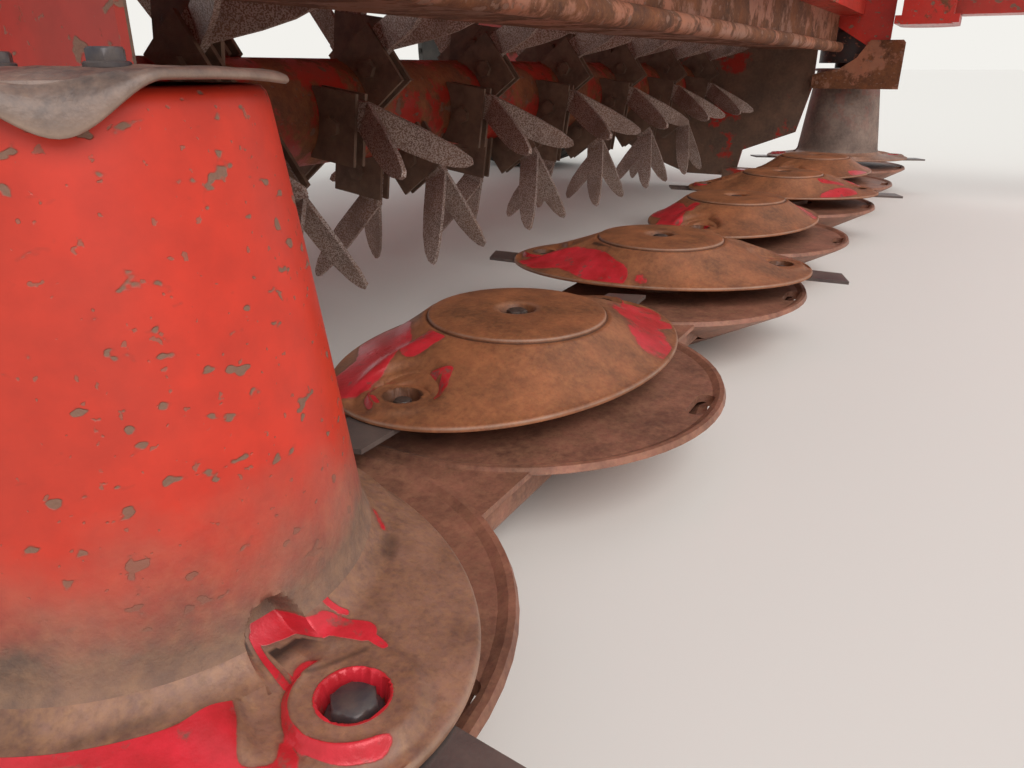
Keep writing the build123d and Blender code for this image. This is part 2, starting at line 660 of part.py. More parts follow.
# Wheels: ribbed implement tyre on a dished rim with its hub
tyre_half = wheel_width / 2
for name, side in (("right", -1), ("left", 1)):
    wheel_plane = Plane(origin=(side * wheel_x, Y + wheel_axle_y, wheel_r), x_dir=(1, 0, 0),
                        z_dir=(0, -1, 0))
    wheel_axis = Axis((side * wheel_x, Y + wheel_axle_y, wheel_r), (1, 0, 0))
    with BuildPart() as tyre:
        with BuildSketch(wheel_plane):
            with BuildLine():
                Polyline(
                    (-tyre_half + 30, rim_r + seat), (-tyre_half + 12, rim_r + 40),
                    (-tyre_half, rim_r + 105), (-tyre_half + 10, wheel_r - 40),
                    (-tyre_half + 30, wheel_r - 8), (-62, wheel_r - 1), (-58, wheel_r - 14),
                    (-48, wheel_r - 14), (-44, wheel_r), (-8, wheel_r), (-5, wheel_r - 14),
                    (5, wheel_r - 14), (8, wheel_r), (44, wheel_r), (48, wheel_r - 14),
                    (58, wheel_r - 14), (62, wheel_r - 1), (tyre_half - 30, wheel_r - 8),
                    (tyre_half - 10, wheel_r - 40), (tyre_half, rim_r + 105),
                    (tyre_half - 12, rim_r + 40), (tyre_half - 30, rim_r + seat), close=True)
            make_face()
        revolve(axis=wheel_axis)
    tyre.part.label = f"tyre_{name}"
    export_step(tyre.part, f"parts/tyre_{name}.step")

    with BuildPart() as rim:
        hub_in = wheel_x - cross_end - 30 - seat
        with BuildSketch(wheel_plane):
            with BuildLine():
                Polyline(*[(side * u, r) for u, r in (
                    (-rim_width / 2, rim_r - 6), (-rim_width / 2, rim_r), (rim_width / 2, rim_r),
                    (rim_width / 2, rim_r - 6), (24, rim_r - 6), (34, 110), (14, 90), (14, 58),
                    (60, 58), (60, axle_r + fit), (-hub_in, axle_r + fit), (-hub_in, 58), (4, 58),
                    (4, 94), (24, 116), (14, rim_r - 6))], close=True)
            make_face()
        revolve(axis=wheel_axis)
    rim.part.label = f"rim_{name}"
    export_step(rim.part, f"parts/rim_{name}.step")


def cylinder_parts(base, eye, across, rod_out, bore_r, eye_bore_r):
    """Barrel and rod of a lift or swing cylinder between two pins that lie along across."""
    base = Vector(*base)
    eye = Vector(*eye)
    along = (eye - base).normalized()
    length = (eye - base).length
    frame = Plane(origin=tuple(base), x_dir=across, z_dir=tuple(along))
    with BuildPart() as barrel:
        with BuildSketch(frame.offset(barrel_neck)):
            Circle(bore_r + 8)
        extrude(amount=length - rod_out - barrel_neck)
        with BuildSketch(frame.offset(barrel_neck + 20)):
            Circle(bore_r * 0.55 + fit)
        extrude(amount=length, mode=Mode.SUBTRACT)
        with BuildSketch(frame):
            Rectangle(22, 40)
        extrude(amount=barrel_neck + 5)
        with BuildSketch(Plane(origin=tuple(base), x_dir=tuple(along), z_dir=across)):
            Circle(26)
        extrude(amount=11, both=True)
        with BuildSketch(Plane(origin=tuple(base), x_dir=tuple(along), z_dir=across)):
            Circle(14 + fit)
        extrude(amount=40, both=True, mode=Mode.SUBTRACT)
    with BuildPart() as rod:
        with BuildSketch(frame.offset(length - rod_out - 130)):
            Circle(bore_r * 0.55)
        extrude(amount=rod_out + 130 - eye_bore_r - 8)
        with BuildSketch(Plane(origin=tuple(eye), x_dir=tuple(along), z_dir=across)):
            Circle(eye_bore_r + 12)
        extrude(amount=11, both=True)
        with BuildSketch(Plane(origin=tuple(eye), x_dir=tuple(along), z_dir=across)):
            Circle(eye_bore_r)
        extrude(amount=40, both=True, mode=Mode.SUBTRACT)
    return barrel.part, rod.part


# Wheel lift cylinders
for name, side in (("right", -1), ("left", 1)):
    barrel, rod = cylinder_parts(
        (side * leg_x, Y + lift_base_y, lift_base_z), (side * leg_x, Y + lift_eye_y, lift_eye_z),
        (1, 0, 0), lift_rod_out, lift_bore_r, 20)
    barrel.label = f"lift_barrel_{name}"
    export_step(barrel, f"parts/lift_barrel_{name}.step")
    rod.label = f"lift_rod_{name}"
    export_step(rod, f"parts/lift_rod_{name}.step")

# Drawbar: box beam from the swing boss to the hitch clevis, with lug, shaft stands and jack tube
with BuildPart() as drawbar:
    block((swing_x - drawbar_wide / 2, swing_x + drawbar_wide / 2), (Y + hitch_pin_y + 160, Y + swing_y - 40),
          (drawbar_bottom, drawbar_top))
    bar_z(swing_boss_r, swing_x, Y + swing_y, (drawbar_bottom, drawbar_top))
    for z0 in (drawbar_bottom + 15, drawbar_top - 45):
        block((swing_x - 45, swing_x + 45), (Y + hitch_pin_y, Y + hitch_pin_y + 170), (z0, z0 + 30))
        bar_z(hitch_nose_r, swing_x, Y + hitch_pin_y, (z0, z0 + 30))
    bar_z(hitch_pin_r, swing_x, Y + hitch_pin_y, (drawbar_bottom, drawbar_top), Mode.SUBTRACT)
    bar_z(swing_pin_r + fit, swing_x, Y + swing_y, (drawbar_bottom - 1, drawbar_top + 1), Mode.SUBTRACT)
    lug_y = (Y + swing_eye_y - swing_lug_half, Y + swing_eye_y + swing_lug_half)
    for z0 in (swing_cyl_z - swing_lug_gap - 15, swing_cyl_z + swing_lug_gap):
        block((swing_eye_x - swing_lug_half, swing_x - 48), lug_y, (z0, z0 + 15))
    block((swing_x - 60, swing_x - 48), lug_y, (drawbar_bottom + 20, swing_cyl_z + swing_lug_gap + 15))
    bar_z(14, swing_eye_x, Y + swing_eye_y,
          (swing_cyl_z - swing_lug_gap - 10, swing_cyl_z + swing_lug_gap + 10))
    for y0 in shaft_stands:
        block((swing_x - 30, swing_x + 30), (Y + y0 - 8, Y + y0 + 8), (drawbar_top, shaft_z))
        bar_y(shaft_r + 14, swing_x, (Y + y0 - 15, Y + y0 + 15), shaft_z)
        bar_y(shaft_r + seat, swing_x, (Y + y0 - 16, Y + y0 + 16), shaft_z, Mode.SUBTRACT)
    block((jack_x, swing_x - 40), (Y + jack_y - 30, Y + jack_y + 30), (500, 600))
    bar_z(jack_tube_r, jack_x, Y + jack_y, (jack_tube_bottom, 780))
    bar_z(jack_leg_r + fit, jack_x, Y + jack_y, (jack_tube_bottom - 10, 765), Mode.SUBTRACT)
drawbar.part.label = "drawbar"
export_step(drawbar.part, "parts/drawbar.step")

with BuildPart() as jack_leg:
    bar_z(jack_leg_r, jack_x, Y + jack_y, (12, 450))
    bar_z(75, jack_x, Y + jack_y, (0, 12))
jack_leg.part.label = "jack_leg"
export_step(jack_leg.part, "parts/jack_leg.step")

# Drive line: guarded shaft along the drawbar with the input stub at its front
with BuildPart() as drive_shaft:
    bar_y(shaft_r, swing_x, (Y + shaft_front, Y + shaft_rear), shaft_z)
    bar_y(shaft_r + 22, swing_x, (Y + shaft_front, Y + shaft_front + 60), shaft_z)
    bar_y(pto_stub_r, swing_x, (Y + shaft_front - 85, Y + shaft_front), shaft_z)
    bar_y(shaft_r + 18, swing_x, (Y + shaft_rear - 120, Y + shaft_rear), shaft_z)
drive_shaft.part.label = "drive_shaft"
export_step(drive_shaft.part, "parts/drive_shaft.step")

# Swing cylinder
barrel, rod = cylinder_parts(
    (swing_base_x, Y + swing_base_y, swing_cyl_z), (swing_eye_x, Y + swing_eye_y, swing_cyl_z),
    (0, 0, 1), swing_rod_out, swing_bore_r, 22)
barrel.label = "swing_barrel"
export_step(barrel, "parts/swing_barrel.step")
rod.label = "swing_rod"
export_step(rod, "parts/swing_rod.step")

# Header gearbox: column down to the left drum, bevel box on top with its input cone
with BuildPart() as header_gearbox:
    bar_z(40, row_half, Y, (drum_cap_top + seat, 380))
    bar_z(85, row_half, Y, (360, 440))
    bar_z(column_r, row_half, Y, (430, 720))
    block((row_half - 75, row_half + 95), (Y - 60, Y + 90), (shaft_z - 75, shaft_z + 75))
    bar_y(62, swing_x, (Y - 95, Y - 60), shaft_z)
    bar_y(shaft_r, swing_x, (Y - 130, Y - 90), shaft_z)
    block((mouth_half + 12, row_half), (Y - 60, Y + 60), (beam_bottom_z + 20, beam_top_z - 10))
header_gearbox.part.label = "header_gearbox"
export_step(header_gearbox.part, "parts/header_gearbox.step")

# Belt cover on the left end between the gearbox and the rotor
with BuildPart() as belt_cover:
    with BuildSketch(Plane.YZ.offset(mouth_half + side_thick + 26 + seat)):
        with Locations((Y + belt_top_y, belt_top_z)):
            Circle(95)
        with Locations((Y + rotor_y, rotor_z)):
            Circle(120)
        make_hull()
    extrude(amount=56)
    bar_x(rotor_shaft_r + 6, (mouth_half + 20, mouth_half + 60), Y + rotor_y, rotor_z, Mode.SUBTRACT)
belt_cover.part.label = "belt_cover"
export_step(belt_cover.part, "parts/belt_cover.step")

# Lower links from the side plates to the carriage legs
with BuildPart() as lower_links:
    for side in (-1, 1):
        side_plate(side * link_x, side * 10, [
            (link_front_y, link_front_z), (link_front_y + 30, link_front_z - 20), (cross_y, arm_pivot_z + 70),
            (cross_y + 20, arm_pivot_z + 95), (cross_y, arm_pivot_z + 115), (cross_y - 30, arm_pivot_z + 105),
            (link_front_y, link_front_z + 30)])
lower_links.part.label = "lower_links"
export_step(lower_links.part, "parts/lower_links.step")

# Relief springs and the top link between the carriage and the header beam
with BuildPart() as relief_springs:
    for side in (-1, 1):
        foot = Vector(side * spring_x, Y + spring_foot_y, spring_foot_z)
        head = Vector(side * spring_x, Y + spring_head_y, spring_head_z)
        span = (head - foot).length
        spring_frame = Plane(origin=tuple(foot), x_dir=(1, 0, 0), z_dir=tuple((head - foot).normalized()))
        with BuildSketch(spring_frame.offset(14)):
            Circle(9)
        extrude(amount=span - 28)
        with BuildSketch(spring_frame.offset(spring_hook)):
            Circle(spring_r)
        extrude(amount=span - 2 * spring_hook)
        for eye in (foot, head):
            with BuildSketch(Plane(origin=tuple(eye), x_dir=(0, 1, 0), z_dir=(1, 0, 0))):
                Circle(22)
                Circle(10 + fit, mode=Mode.SUBTRACT)
            extrude(amount=11, both=True)
relief_springs.part.label = "relief_springs"
export_step(relief_springs.part, "parts/relief_springs.step")

# Front guard, folded up: flat panel with a lip along its free edge and two hinge barrels
with BuildPart() as front_guard:
    block((guard_right_x, guard_left_x), (Y + guard_hinge_y - 4, Y + guard_hinge_y),
          (guard_hinge_z + 20, guard_hinge_z + guard_depth))
    block((guard_right_x, guard_left_x), (Y + guard_hinge_y - guard_lip, Y + guard_hinge_y),
          (guard_hinge_z + guard_depth - 4, guard_hinge_z + guard_depth))
    for x0 in guard_hinges:
        block((x0 - 30, x0 + 30), (Y + guard_hinge_y - 4, Y + guard_hinge_y + 4),
              (guard_hinge_z, guard_hinge_z + 40))
        bar_x(12, (x0 - 30, x0 + 30), Y + guard_hinge_y, guard_hinge_z)
    for share in guard_rib_share:
        rib_x = guard_right_x + share * (guard_left_x - guard_right_x)
        side_plate(rib_x - 3, 6, [
            (guard_hinge_y - 4, guard_hinge_z + 50), (guard_hinge_y - guard_rib_deep, guard_hinge_z + 90),
            (guard_hinge_y - guard_rib_deep, guard_hinge_z + guard_depth - 4),
            (guard_hinge_y - 4, guard_hinge_z + guard_depth - 4)])
front_guard.part.label = "front_guard"
export_step(front_guard.part, "parts/front_guard.step")

# Swath doors behind the side plates, inside the hood's tail
for name, side in (("right", -1), ("left", 1)):
    door_x = side * (mouth_half - door_inset)
    with BuildPart() as door:
        block((door_x - 2, door_x + 2), (Y + door_hinge_y, Y + door_hinge_y + door_length),
              (door_bottom, door_top))
        bar_z(10, door_x, Y + door_hinge_y, (door_bottom - 10, door_top + 20))
    door.part.label = f"swath_door_{name}"
    export_step(door.part, f"parts/swath_door_{name}.step")

# Lamp bar behind the cross tube, with a lamp at each end
with BuildPart() as lamp_bar:
    for side in (-1, 1):
        block((side * 700, side * 760), (Y + cross_y + tube / 2 + seat, Y + lamp_bar_y),
              (cross_z - 20, cross_z + 20))
    block((-1250, 1250), (Y + lamp_bar_y, Y + lamp_bar_y + 40), (cross_z - 30, cross_z + 30))
lamp_bar.part.label = "lamp_bar"
export_step(lamp_bar.part, "parts/lamp_bar.step")

with BuildPart() as tail_lamps:
    for side in (-1, 1):
        block((side * 1000, side * 1220), (Y + lamp_bar_y + 40 + seat, Y + lamp_bar_y + 90),
              (cross_z - 50, cross_z + 50))
tail_lamps.part.label = "tail_lamps"
export_step(tail_lamps.part, "parts/tail_lamps.step")
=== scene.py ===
"""Looks of a trailed disc mower conditioner: worn enamel, rusted pressings and pitted tines."""

import json
import math

import bpy
import numpy as np
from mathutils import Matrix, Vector
from mathutils.bvhtree import BVHTree


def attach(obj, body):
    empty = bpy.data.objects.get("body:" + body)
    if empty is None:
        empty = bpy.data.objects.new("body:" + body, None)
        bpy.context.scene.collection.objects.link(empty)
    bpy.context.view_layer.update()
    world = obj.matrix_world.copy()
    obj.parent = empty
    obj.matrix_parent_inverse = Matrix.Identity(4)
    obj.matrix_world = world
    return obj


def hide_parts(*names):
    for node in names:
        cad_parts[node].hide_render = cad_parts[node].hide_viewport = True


bl_info = {
    "name": "Mower Conditioner Looks",
    "version": (1, 0, 0),
    "blender": (4, 5, 0),
    "location": "View3D > Sidebar > Mower",
    "description": "Dresses a trailed disc mower conditioner in worn paint, rust and rubber",
    "category": "Object",
}

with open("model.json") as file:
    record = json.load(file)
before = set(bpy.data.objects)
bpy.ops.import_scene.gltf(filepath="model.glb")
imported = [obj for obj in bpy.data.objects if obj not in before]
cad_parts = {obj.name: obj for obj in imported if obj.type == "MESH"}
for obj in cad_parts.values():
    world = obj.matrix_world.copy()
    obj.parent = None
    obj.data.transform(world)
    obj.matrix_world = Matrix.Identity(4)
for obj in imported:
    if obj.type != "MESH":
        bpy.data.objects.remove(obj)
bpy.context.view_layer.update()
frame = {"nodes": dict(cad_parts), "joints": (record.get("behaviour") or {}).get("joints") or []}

# Places on the machine, in metres, read from the frame
JOINTS = {joint["name"]: joint for joint in frame["joints"]}
ROW_Y = JOINTS["drum_left_spin"]["pos_m"][1]
ROTOR_Y = JOINTS["rotor_spin"]["pos_m"][1]
ROTOR_Z = JOINTS["rotor_spin"]["pos_m"][2]

# Rotors of the row: turn of the oval's long axis in degrees, the side of the lobes that the
# crop spares, and how much of the paint is left there at the two lobes
ROTORS = {
    "drum_right": (80, 1, 0.5, 1.0),
    "disc_1": (-7, 1, 0.62, 1.0),
    "disc_2": (-72, -1, 0.35, 1.0),
    "disc_3": (-7, 1, 0.5, 0.85),
    "disc_4": (-74, -1, 0.6, 0.1),
    "disc_5": (-9, 1, 0.5, 0.2),
    "drum_left": (-74, -1, 0.25, 0.3),
}
ROTOR_X = {name: JOINTS[f"{name}_spin"]["pos_m"][0] for name in ROTORS}

# More paint (above 0) or painted shade (below 0) on the rotors at rest: strokes in millimetres from
# the axis, as x and y of both ends, half width, amount
STROKES = {
    "drum_right": [
        (-22, -117, 2, -124, 5, 1.0), (2, -124, 8, -138, 6, 1.0), (8, -138, 6, -151, 2.5, 1.0),
        (6, -100, -1, -112, 3.5, 1.0), (-27, -116, -32, -129, 1.8, 1.0),
        (8, -116, 12, -124, 2, 0.9), (73, -100, 84, -84, 3, 0.6), (60, -112, 72, -103, 4, -0.5),
        (-39.5, -121.5, -63.5, -145.5, 7, -0.04), (-24, -133, 0, -146, 1.2, -0.6),
        (-72, -103, -96, -84, 2.5, -0.35)],
    "disc_1": [
        (-84, 34, -106, 42, 12, 1.0), (-128, 5, -124, -5, 5, 1.0), (-128, -7, -142, -11, 4, 1.0),
        (-142, -11, -152, -13, 2.5, 1.0), (-173, 34, -180, 24, 2.5, 0.9), (80, -92, 128, -104, 9, 1.0)],
    "disc_2": [
        (-62, 70, -92, 30, 3, -0.8), (-92, 30, -128, -14, 3, -0.8), (-100, 60, -126, 14, 17, 1.0),
        (-126, 14, -150, 12, 12, 1.0), (-122, -18, -124, -22, 9, 0.62)],
    "disc_3": [(-156, 16, -138, 2, 4, 0.9), (-84, 50, -104, 52, 10, 1.0)],
    "disc_4": [(-30, -146, -92, -112, 15, 1.0), (-10, -122, -42, -88, 9, 0.8)],
    "disc_5": [(-20, -140, -80, -110, 14, 0.9)],
    "drum_left": [],
}

# Sizes of the machine and its pressings in metres, as in the source
SIDE_INNER = 1.100
HALF_LENGTH = 0.200
HALF_WIDTH = 0.137
RIM_LOW = 0.096
RIM_TOP = 0.101
EDGE_ROLL = 0.003
HUB_R = 0.052
HUB_LOW = 0.0803

# Discs: the dish falls from its shoulder beside the cap and flattens towards the rim
SHOULDER_R = 0.088
SHOULDER_TOP = 0.1322
SHOULDER_UNDER = 0.1272
DISH_BEND = 1.22

# Drums: a cone that widens to its waist, a rounded foot and a nearly flat base
DRUM_TOP = 0.339
CONE_TOP_R = 0.0865
WAIST_R = 0.1125
WAIST_Z = 0.130
FOOT_R = 0.131
BASE_TOP = 0.1090
PAINT_ENDS_Z = 0.1180

# Knife seats: reach of the bolt along the lobe and its offset, its hole, the boss round it with
# lip, groove and crest, how far a disc's seat lies under the dish and how high a drum's seat lies
SEAT_REACH = 0.160
SEAT_LEAD = 0.0045
HOLE_R = 0.0150
HOLE_DEPTH = 0.0130
BOSS_R = 0.026
LIP_HEIGHT = 0.0012
GROOVE_DEPTH = 0.0046
CREST_HEIGHT = 0.0042
DISC_SEAT_SINK = 0.0032
DRUM_SEAT_TOP = 0.1070

# Bolts: height of the seat, across flats, height of the head
DRUM_BOLT = (0.0955, 0.0190, 0.0095)
DISC_BOLT = (0.0966, 0.0130, 0.006)
HUB_BOLT = (0.1308, 0.017, 0.006)
CAP_BOLT = (0.3455, 0.0125, 0.0068)
CAP_BOLT_REACH = 0.062
CAP_BOLT_BEARINGS = (-103, 77)

# Columns of points round the shells
DISC_COLUMNS = 208
NEAR_DRUM_COLUMNS = 320
CAP_COLUMNS = 216

# Tread blocks: how far from the tyre's middle and from its axle
TREAD_X = 0.126
TREAD_R = 0.397

# Relief springs, as in the source; y counts from the cutting row
SPRING_X = 0.760
SPRING_FOOT = (0.100, 0.640)
SPRING_HEAD = (0.596, 1.000)
SPRING_HOOK = 0.090

# Rings of bolts: node, body, centre with y from the row, radius, first and last angle, count,
# aim, across flats
BOLT_RINGS = (
    ("belt_cover", "root", (1.30, 0.170, 0.620), 0.080, 40, 200, 5, (-1, 0, 0), 0.013),
    ("belt_cover", "root", (1.30, 0.450, 0.290), 0.104, 215, 375, 5, (-1, 0, 0), 0.013),
    ("side_plate_right", "root", (-1.30, 0.450, 0.290), 0.054, 45, 315, 4, (1, 0, 0), 0.017),
    ("header_gearbox", "root", (1.40, 0.015, 0.780), 0.080, 45, 315, 4, (-1, 0, 0), 0.015),
    ("header_gearbox", "root", (1.20, 0.000, 0.470), 0.072, 0, 315, 8, (0, 0, -1), 0.013),
    ("rim_right", "wheel_right", (-1.60, 1.150, 0.422), 0.076, 0, 288, 5, (1, 0, 0), 0.019),
    ("rim_left", "wheel_left", (1.60, 1.150, 0.422), 0.076, 0, 288, 5, (-1, 0, 0), 0.019),
)

# Row of bolts on the hood's tail: count, half length, y from the row, height to look down from
HOOD_BOLTS = 11
HOOD_BOLT_REACH = 1.0
HOOD_BOLT_Y = 1.215
HOOD_ABOVE = 0.8

# Node kinds used in every tree
MATH = "ShaderNodeMath"
RANGE = "ShaderNodeMapRange"


def linear(code):
    """Turns an sRGB hex colour into the linear colour that a shader takes."""
    channels = [int(code.lstrip("#")[i:i + 2], 16) / 255 for i in (0, 2, 4)]
    return tuple(c / 12.92 if c <= 0.04045 else ((c + 0.055) / 1.055) ** 2.4 for c in channels) + (1.0,)


def add_node(tree, kind, inputs=None, out=None, **settings):
    """Adds a node with its settings, fills or links its inputs, and returns it or one output."""
    node = tree.nodes.new(kind)
    for key, value in settings.items():
        setattr(node, key, value)
    for key, value in (inputs or {}).items():
        if isinstance(value, bpy.types.NodeSocket):
            tree.links.new(value, node.inputs[key])
        else:
            node.inputs[key].default_value = value
    return node if out is None else node.outputs[out]


def start_material(name):
    """A new material with a Principled shader, and its object coordinates."""
    material = bpy.data.materials.new(name)
    material.use_nodes = True
    tree = material.node_tree
    tree.nodes.clear()
    shader = add_node(tree, "ShaderNodeBsdfPrincipled")
    add_node(tree, "ShaderNodeOutputMaterial", {"Surface": shader.outputs["BSDF"]})
    coords = add_node(tree, "ShaderNodeTexCoord", out="Object")
    return material, tree, shader, coords


def blotches(tree, coords, size_mm, low, high, detail=5.0, roughness=0.6, shift=(0, 0, 0),
             stretch=(1, 1, 1)):
    """A mask of blotches of about a size: 0 where the noise is under low, 1 where it is over high."""
    placed = add_node(tree, "ShaderNodeMapping", {
        "Vector": coords, "Location": shift, "Scale": stretch}, 0)
    noise = add_node(tree, "ShaderNodeTexNoise", {
        "Vector": placed, "Scale": 1000 / size_mm, "Detail": detail, "Roughness": roughness}, 0)
    return add_node(tree, RANGE, {"Value": noise, "From Min": low, "From Max": high}, 0)


def layered(tree, base, *coats):
    """A base colour with coats over it, each a mask and a colour."""
    for mask, coat in coats:
        base = add_node(tree, "ShaderNodeMix", {0: mask, 6: base, 7: coat}, 2, data_type="RGBA")
    return base


def scaled(tree, *factors):
    """The product of masks and numbers."""
    product = factors[0]
    for factor in factors[1:]:
        product = add_node(tree, MATH, {0: product, 1: factor}, 0, operation="MULTIPLY")
    return product


def rust_tones(tree, coords, dark, middle, light, size_mm=60):
    """Rust in three tones that drift over each other at a coarse and a fine scale."""
    coarse = blotches(tree, coords, size_mm, 0.35, 0.65)
    fine = blotches(tree, coords, size_mm / 8, 0.35, 0.75, shift=(3.1, 0.7, 1.9))
    streaks = blotches(tree, coords, size_mm * 0.6, 0.45, 0.7, 9, 0.7, shift=(7, 2, 4))
    return layered(tree, linear(dark), (coarse, linear(middle)),
                   (scaled(tree, fine, 0.45), linear(light)), (scaled(tree, streaks, 0.5), linear(dark)))


def finish_shader(tree, shader, colour, roughness, height, bump_mm, metallic=0.0):
    """Links the colour, roughness and relief of a finish to its shader."""
    tree.links.new(colour, shader.inputs["Base Color"])
    tree.links.new(roughness, shader.inputs["Roughness"])
    shader.inputs["Metallic"].default_value = metallic
    bump = add_node(tree, "ShaderNodeBump", {"Height": height, "Distance": bump_mm / 1000}, "Normal")
    tree.links.new(bump, shader.inputs["Normal"])


def worn_enamel(name, bright, faded="#a8382b", chips_at=0.66, chip_mm=14, rust_at=0.6,
                rust=("#4a2a1c", "#7a4526", "#9a6238"), rough=0.32, dust=0.45, foot=None,
                core=None, inner=None):
    """Sprayed enamel on steel: glossy where kept, chipped to grey primer and rust, dusty on top.

    foot is a height span in metres below which the paint has gone to rust. core is an axis
    (y, z, radius) outside which the steel is dark and greasy, as brackets on a tube are. inner is the
    distance from the middle of the machine within which the crop has rubbed the paint off."""
    material, tree, shader, coords = start_material(name)
    fade = blotches(tree, coords, 240, 0.35, 0.7)
    grain = blotches(tree, coords, 20, 0.35, 0.8, shift=(5, 2, 1))
    squat = (0.8, 0.8, 1.2)
    chips = blotches(tree, coords, chip_mm, chips_at, chips_at + 0.025, 2, 0.4, stretch=squat)
    halo = blotches(tree, coords, chip_mm, chips_at - 0.03, chips_at + 0.01, 2, 0.4, stretch=squat)
    small = blotches(tree, coords, chip_mm * 0.45, chips_at + 0.02, chips_at + 0.06, 2, 0.4, (6, 1, 2))
    chips = add_node(tree, MATH, {0: chips, 1: scaled(tree, small, 0.7)}, 0, operation="MAXIMUM")
    wear = blotches(tree, coords, 90, rust_at, rust_at + 0.06, 9, 0.7, shift=(1, 8, 3))
    if foot:
        height = add_node(tree, "ShaderNodeSeparateXYZ", {0: coords}, "Z")
        ragged = scaled(tree, blotches(tree, coords, 50, 0.2, 0.8, detail=7), 0.035)
        level = add_node(tree, MATH, {0: ragged, 1: height}, 0, operation="SUBTRACT")
        low = add_node(tree, RANGE, {"Value": level, "From Min": -foot[1], "From Max": -foot[0]}, 0)
        wear = add_node(tree, MATH, {0: wear, 1: low}, 0, operation="MAXIMUM")
        chips = add_node(tree, MATH, {0: chips, 1: scaled(tree, low, 0.85)}, 0,
                         operation="SUBTRACT", use_clamp=True)
    paint_and_shade = add_node(tree, "ShaderNodeAttribute", out="Fac", attribute_name="paint_and_shade")
    # Painted shade: where the paint attribute falls under 0, in dents and hollows, the enamel is painted
    # dark brown
    painted_shade = add_node(tree, RANGE, {"Value": paint_and_shade, "From Min": -0.05, "From Max": -0.9}, 0)
    grime = blotches(tree, coords, 110, 0.45, 0.8, detail=8, shift=(9, 4, 6))
    normal = add_node(tree, "ShaderNodeTexCoord", out="Normal")
    up = add_node(tree, "ShaderNodeSeparateXYZ", {0: normal}, "Z")
    settled = add_node(tree, MATH, {0: up, 1: 0.2}, 0, operation="MAXIMUM")
    colour = layered(
        tree, linear(bright), (fade, linear(faded)), (scaled(tree, grain, 0.3), linear("#6e1b14")),
        (scaled(tree, halo, 0.25), linear("#7a3226")), (wear, rust_tones(tree, coords, *rust)),
        (chips, linear("#86614f")), (scaled(tree, settled, grime, dust), linear("#8c7a66")),
        (painted_shade, linear("#3a2a24")))
    bare = add_node(tree, MATH, {0: wear, 1: chips}, 0, operation="MAXIMUM")
    if inner:
        side = add_node(tree, "ShaderNodeSeparateXYZ", {0: coords}, "X")
        side = add_node(tree, MATH, {0: side}, 0, operation="ABSOLUTE")
        within = add_node(tree, MATH, {0: side, 1: inner}, 0, operation="LESS_THAN")
        spared = scaled(tree, within, blotches(tree, coords, 130, 0.56, 0.6, 8, shift=(3, 0, 5)))
        within = add_node(tree, MATH, {0: within, 1: spared}, 0, operation="SUBTRACT")
        rubbed = rust_tones(tree, coords, "#5d493e", "#7d5c4a", "#967458")
        colour = layered(tree, colour, (within, rubbed))
        bare = add_node(tree, MATH, {0: bare, 1: within}, 0, operation="MAXIMUM")
    if core:
        away = add_node(tree, "ShaderNodeMapping", {
            "Vector": coords, "Location": (0, -core[0], -core[1]), "Scale": (0, 1, 1)}, 0)
        reach = add_node(tree, "ShaderNodeVectorMath", {0: away}, "Value", operation="LENGTH")
        outside = add_node(tree, RANGE, {
            "Value": reach, "From Min": core[2], "From Max": core[2] + 0.001}, 0)
        smear = blotches(tree, coords, 40, 0.35, 0.7, shift=(2, 2, 8))
        grease_and_painted_shade = layered(tree, linear("#5f493c"), (smear, linear("#836653")),
                         (scaled(tree, grain, 0.5), linear("#9c7d66")))
        colour = layered(tree, colour, (outside, grease_and_painted_shade))
        bare = add_node(tree, MATH, {0: bare, 1: outside}, 0, operation="MAXIMUM")
    roughness = add_node(tree, RANGE, {"Value": bare, "To Min": rough, "To Max": rough + 0.35}, 0)
    roughness = add_node(tree, MATH, {0: scaled(tree, grime, 0.2), 1: roughness}, 0, operation="ADD")
    pits = blotches(tree, coords, 4, 0.3, 0.8, detail=4)
    relief = add_node(tree, MATH, {0: scaled(tree, pits, bare), 1: chips}, 0, operation="SUBTRACT")
    finish_shader(tree, shader, colour, roughness, relief, 0.5)
    return material


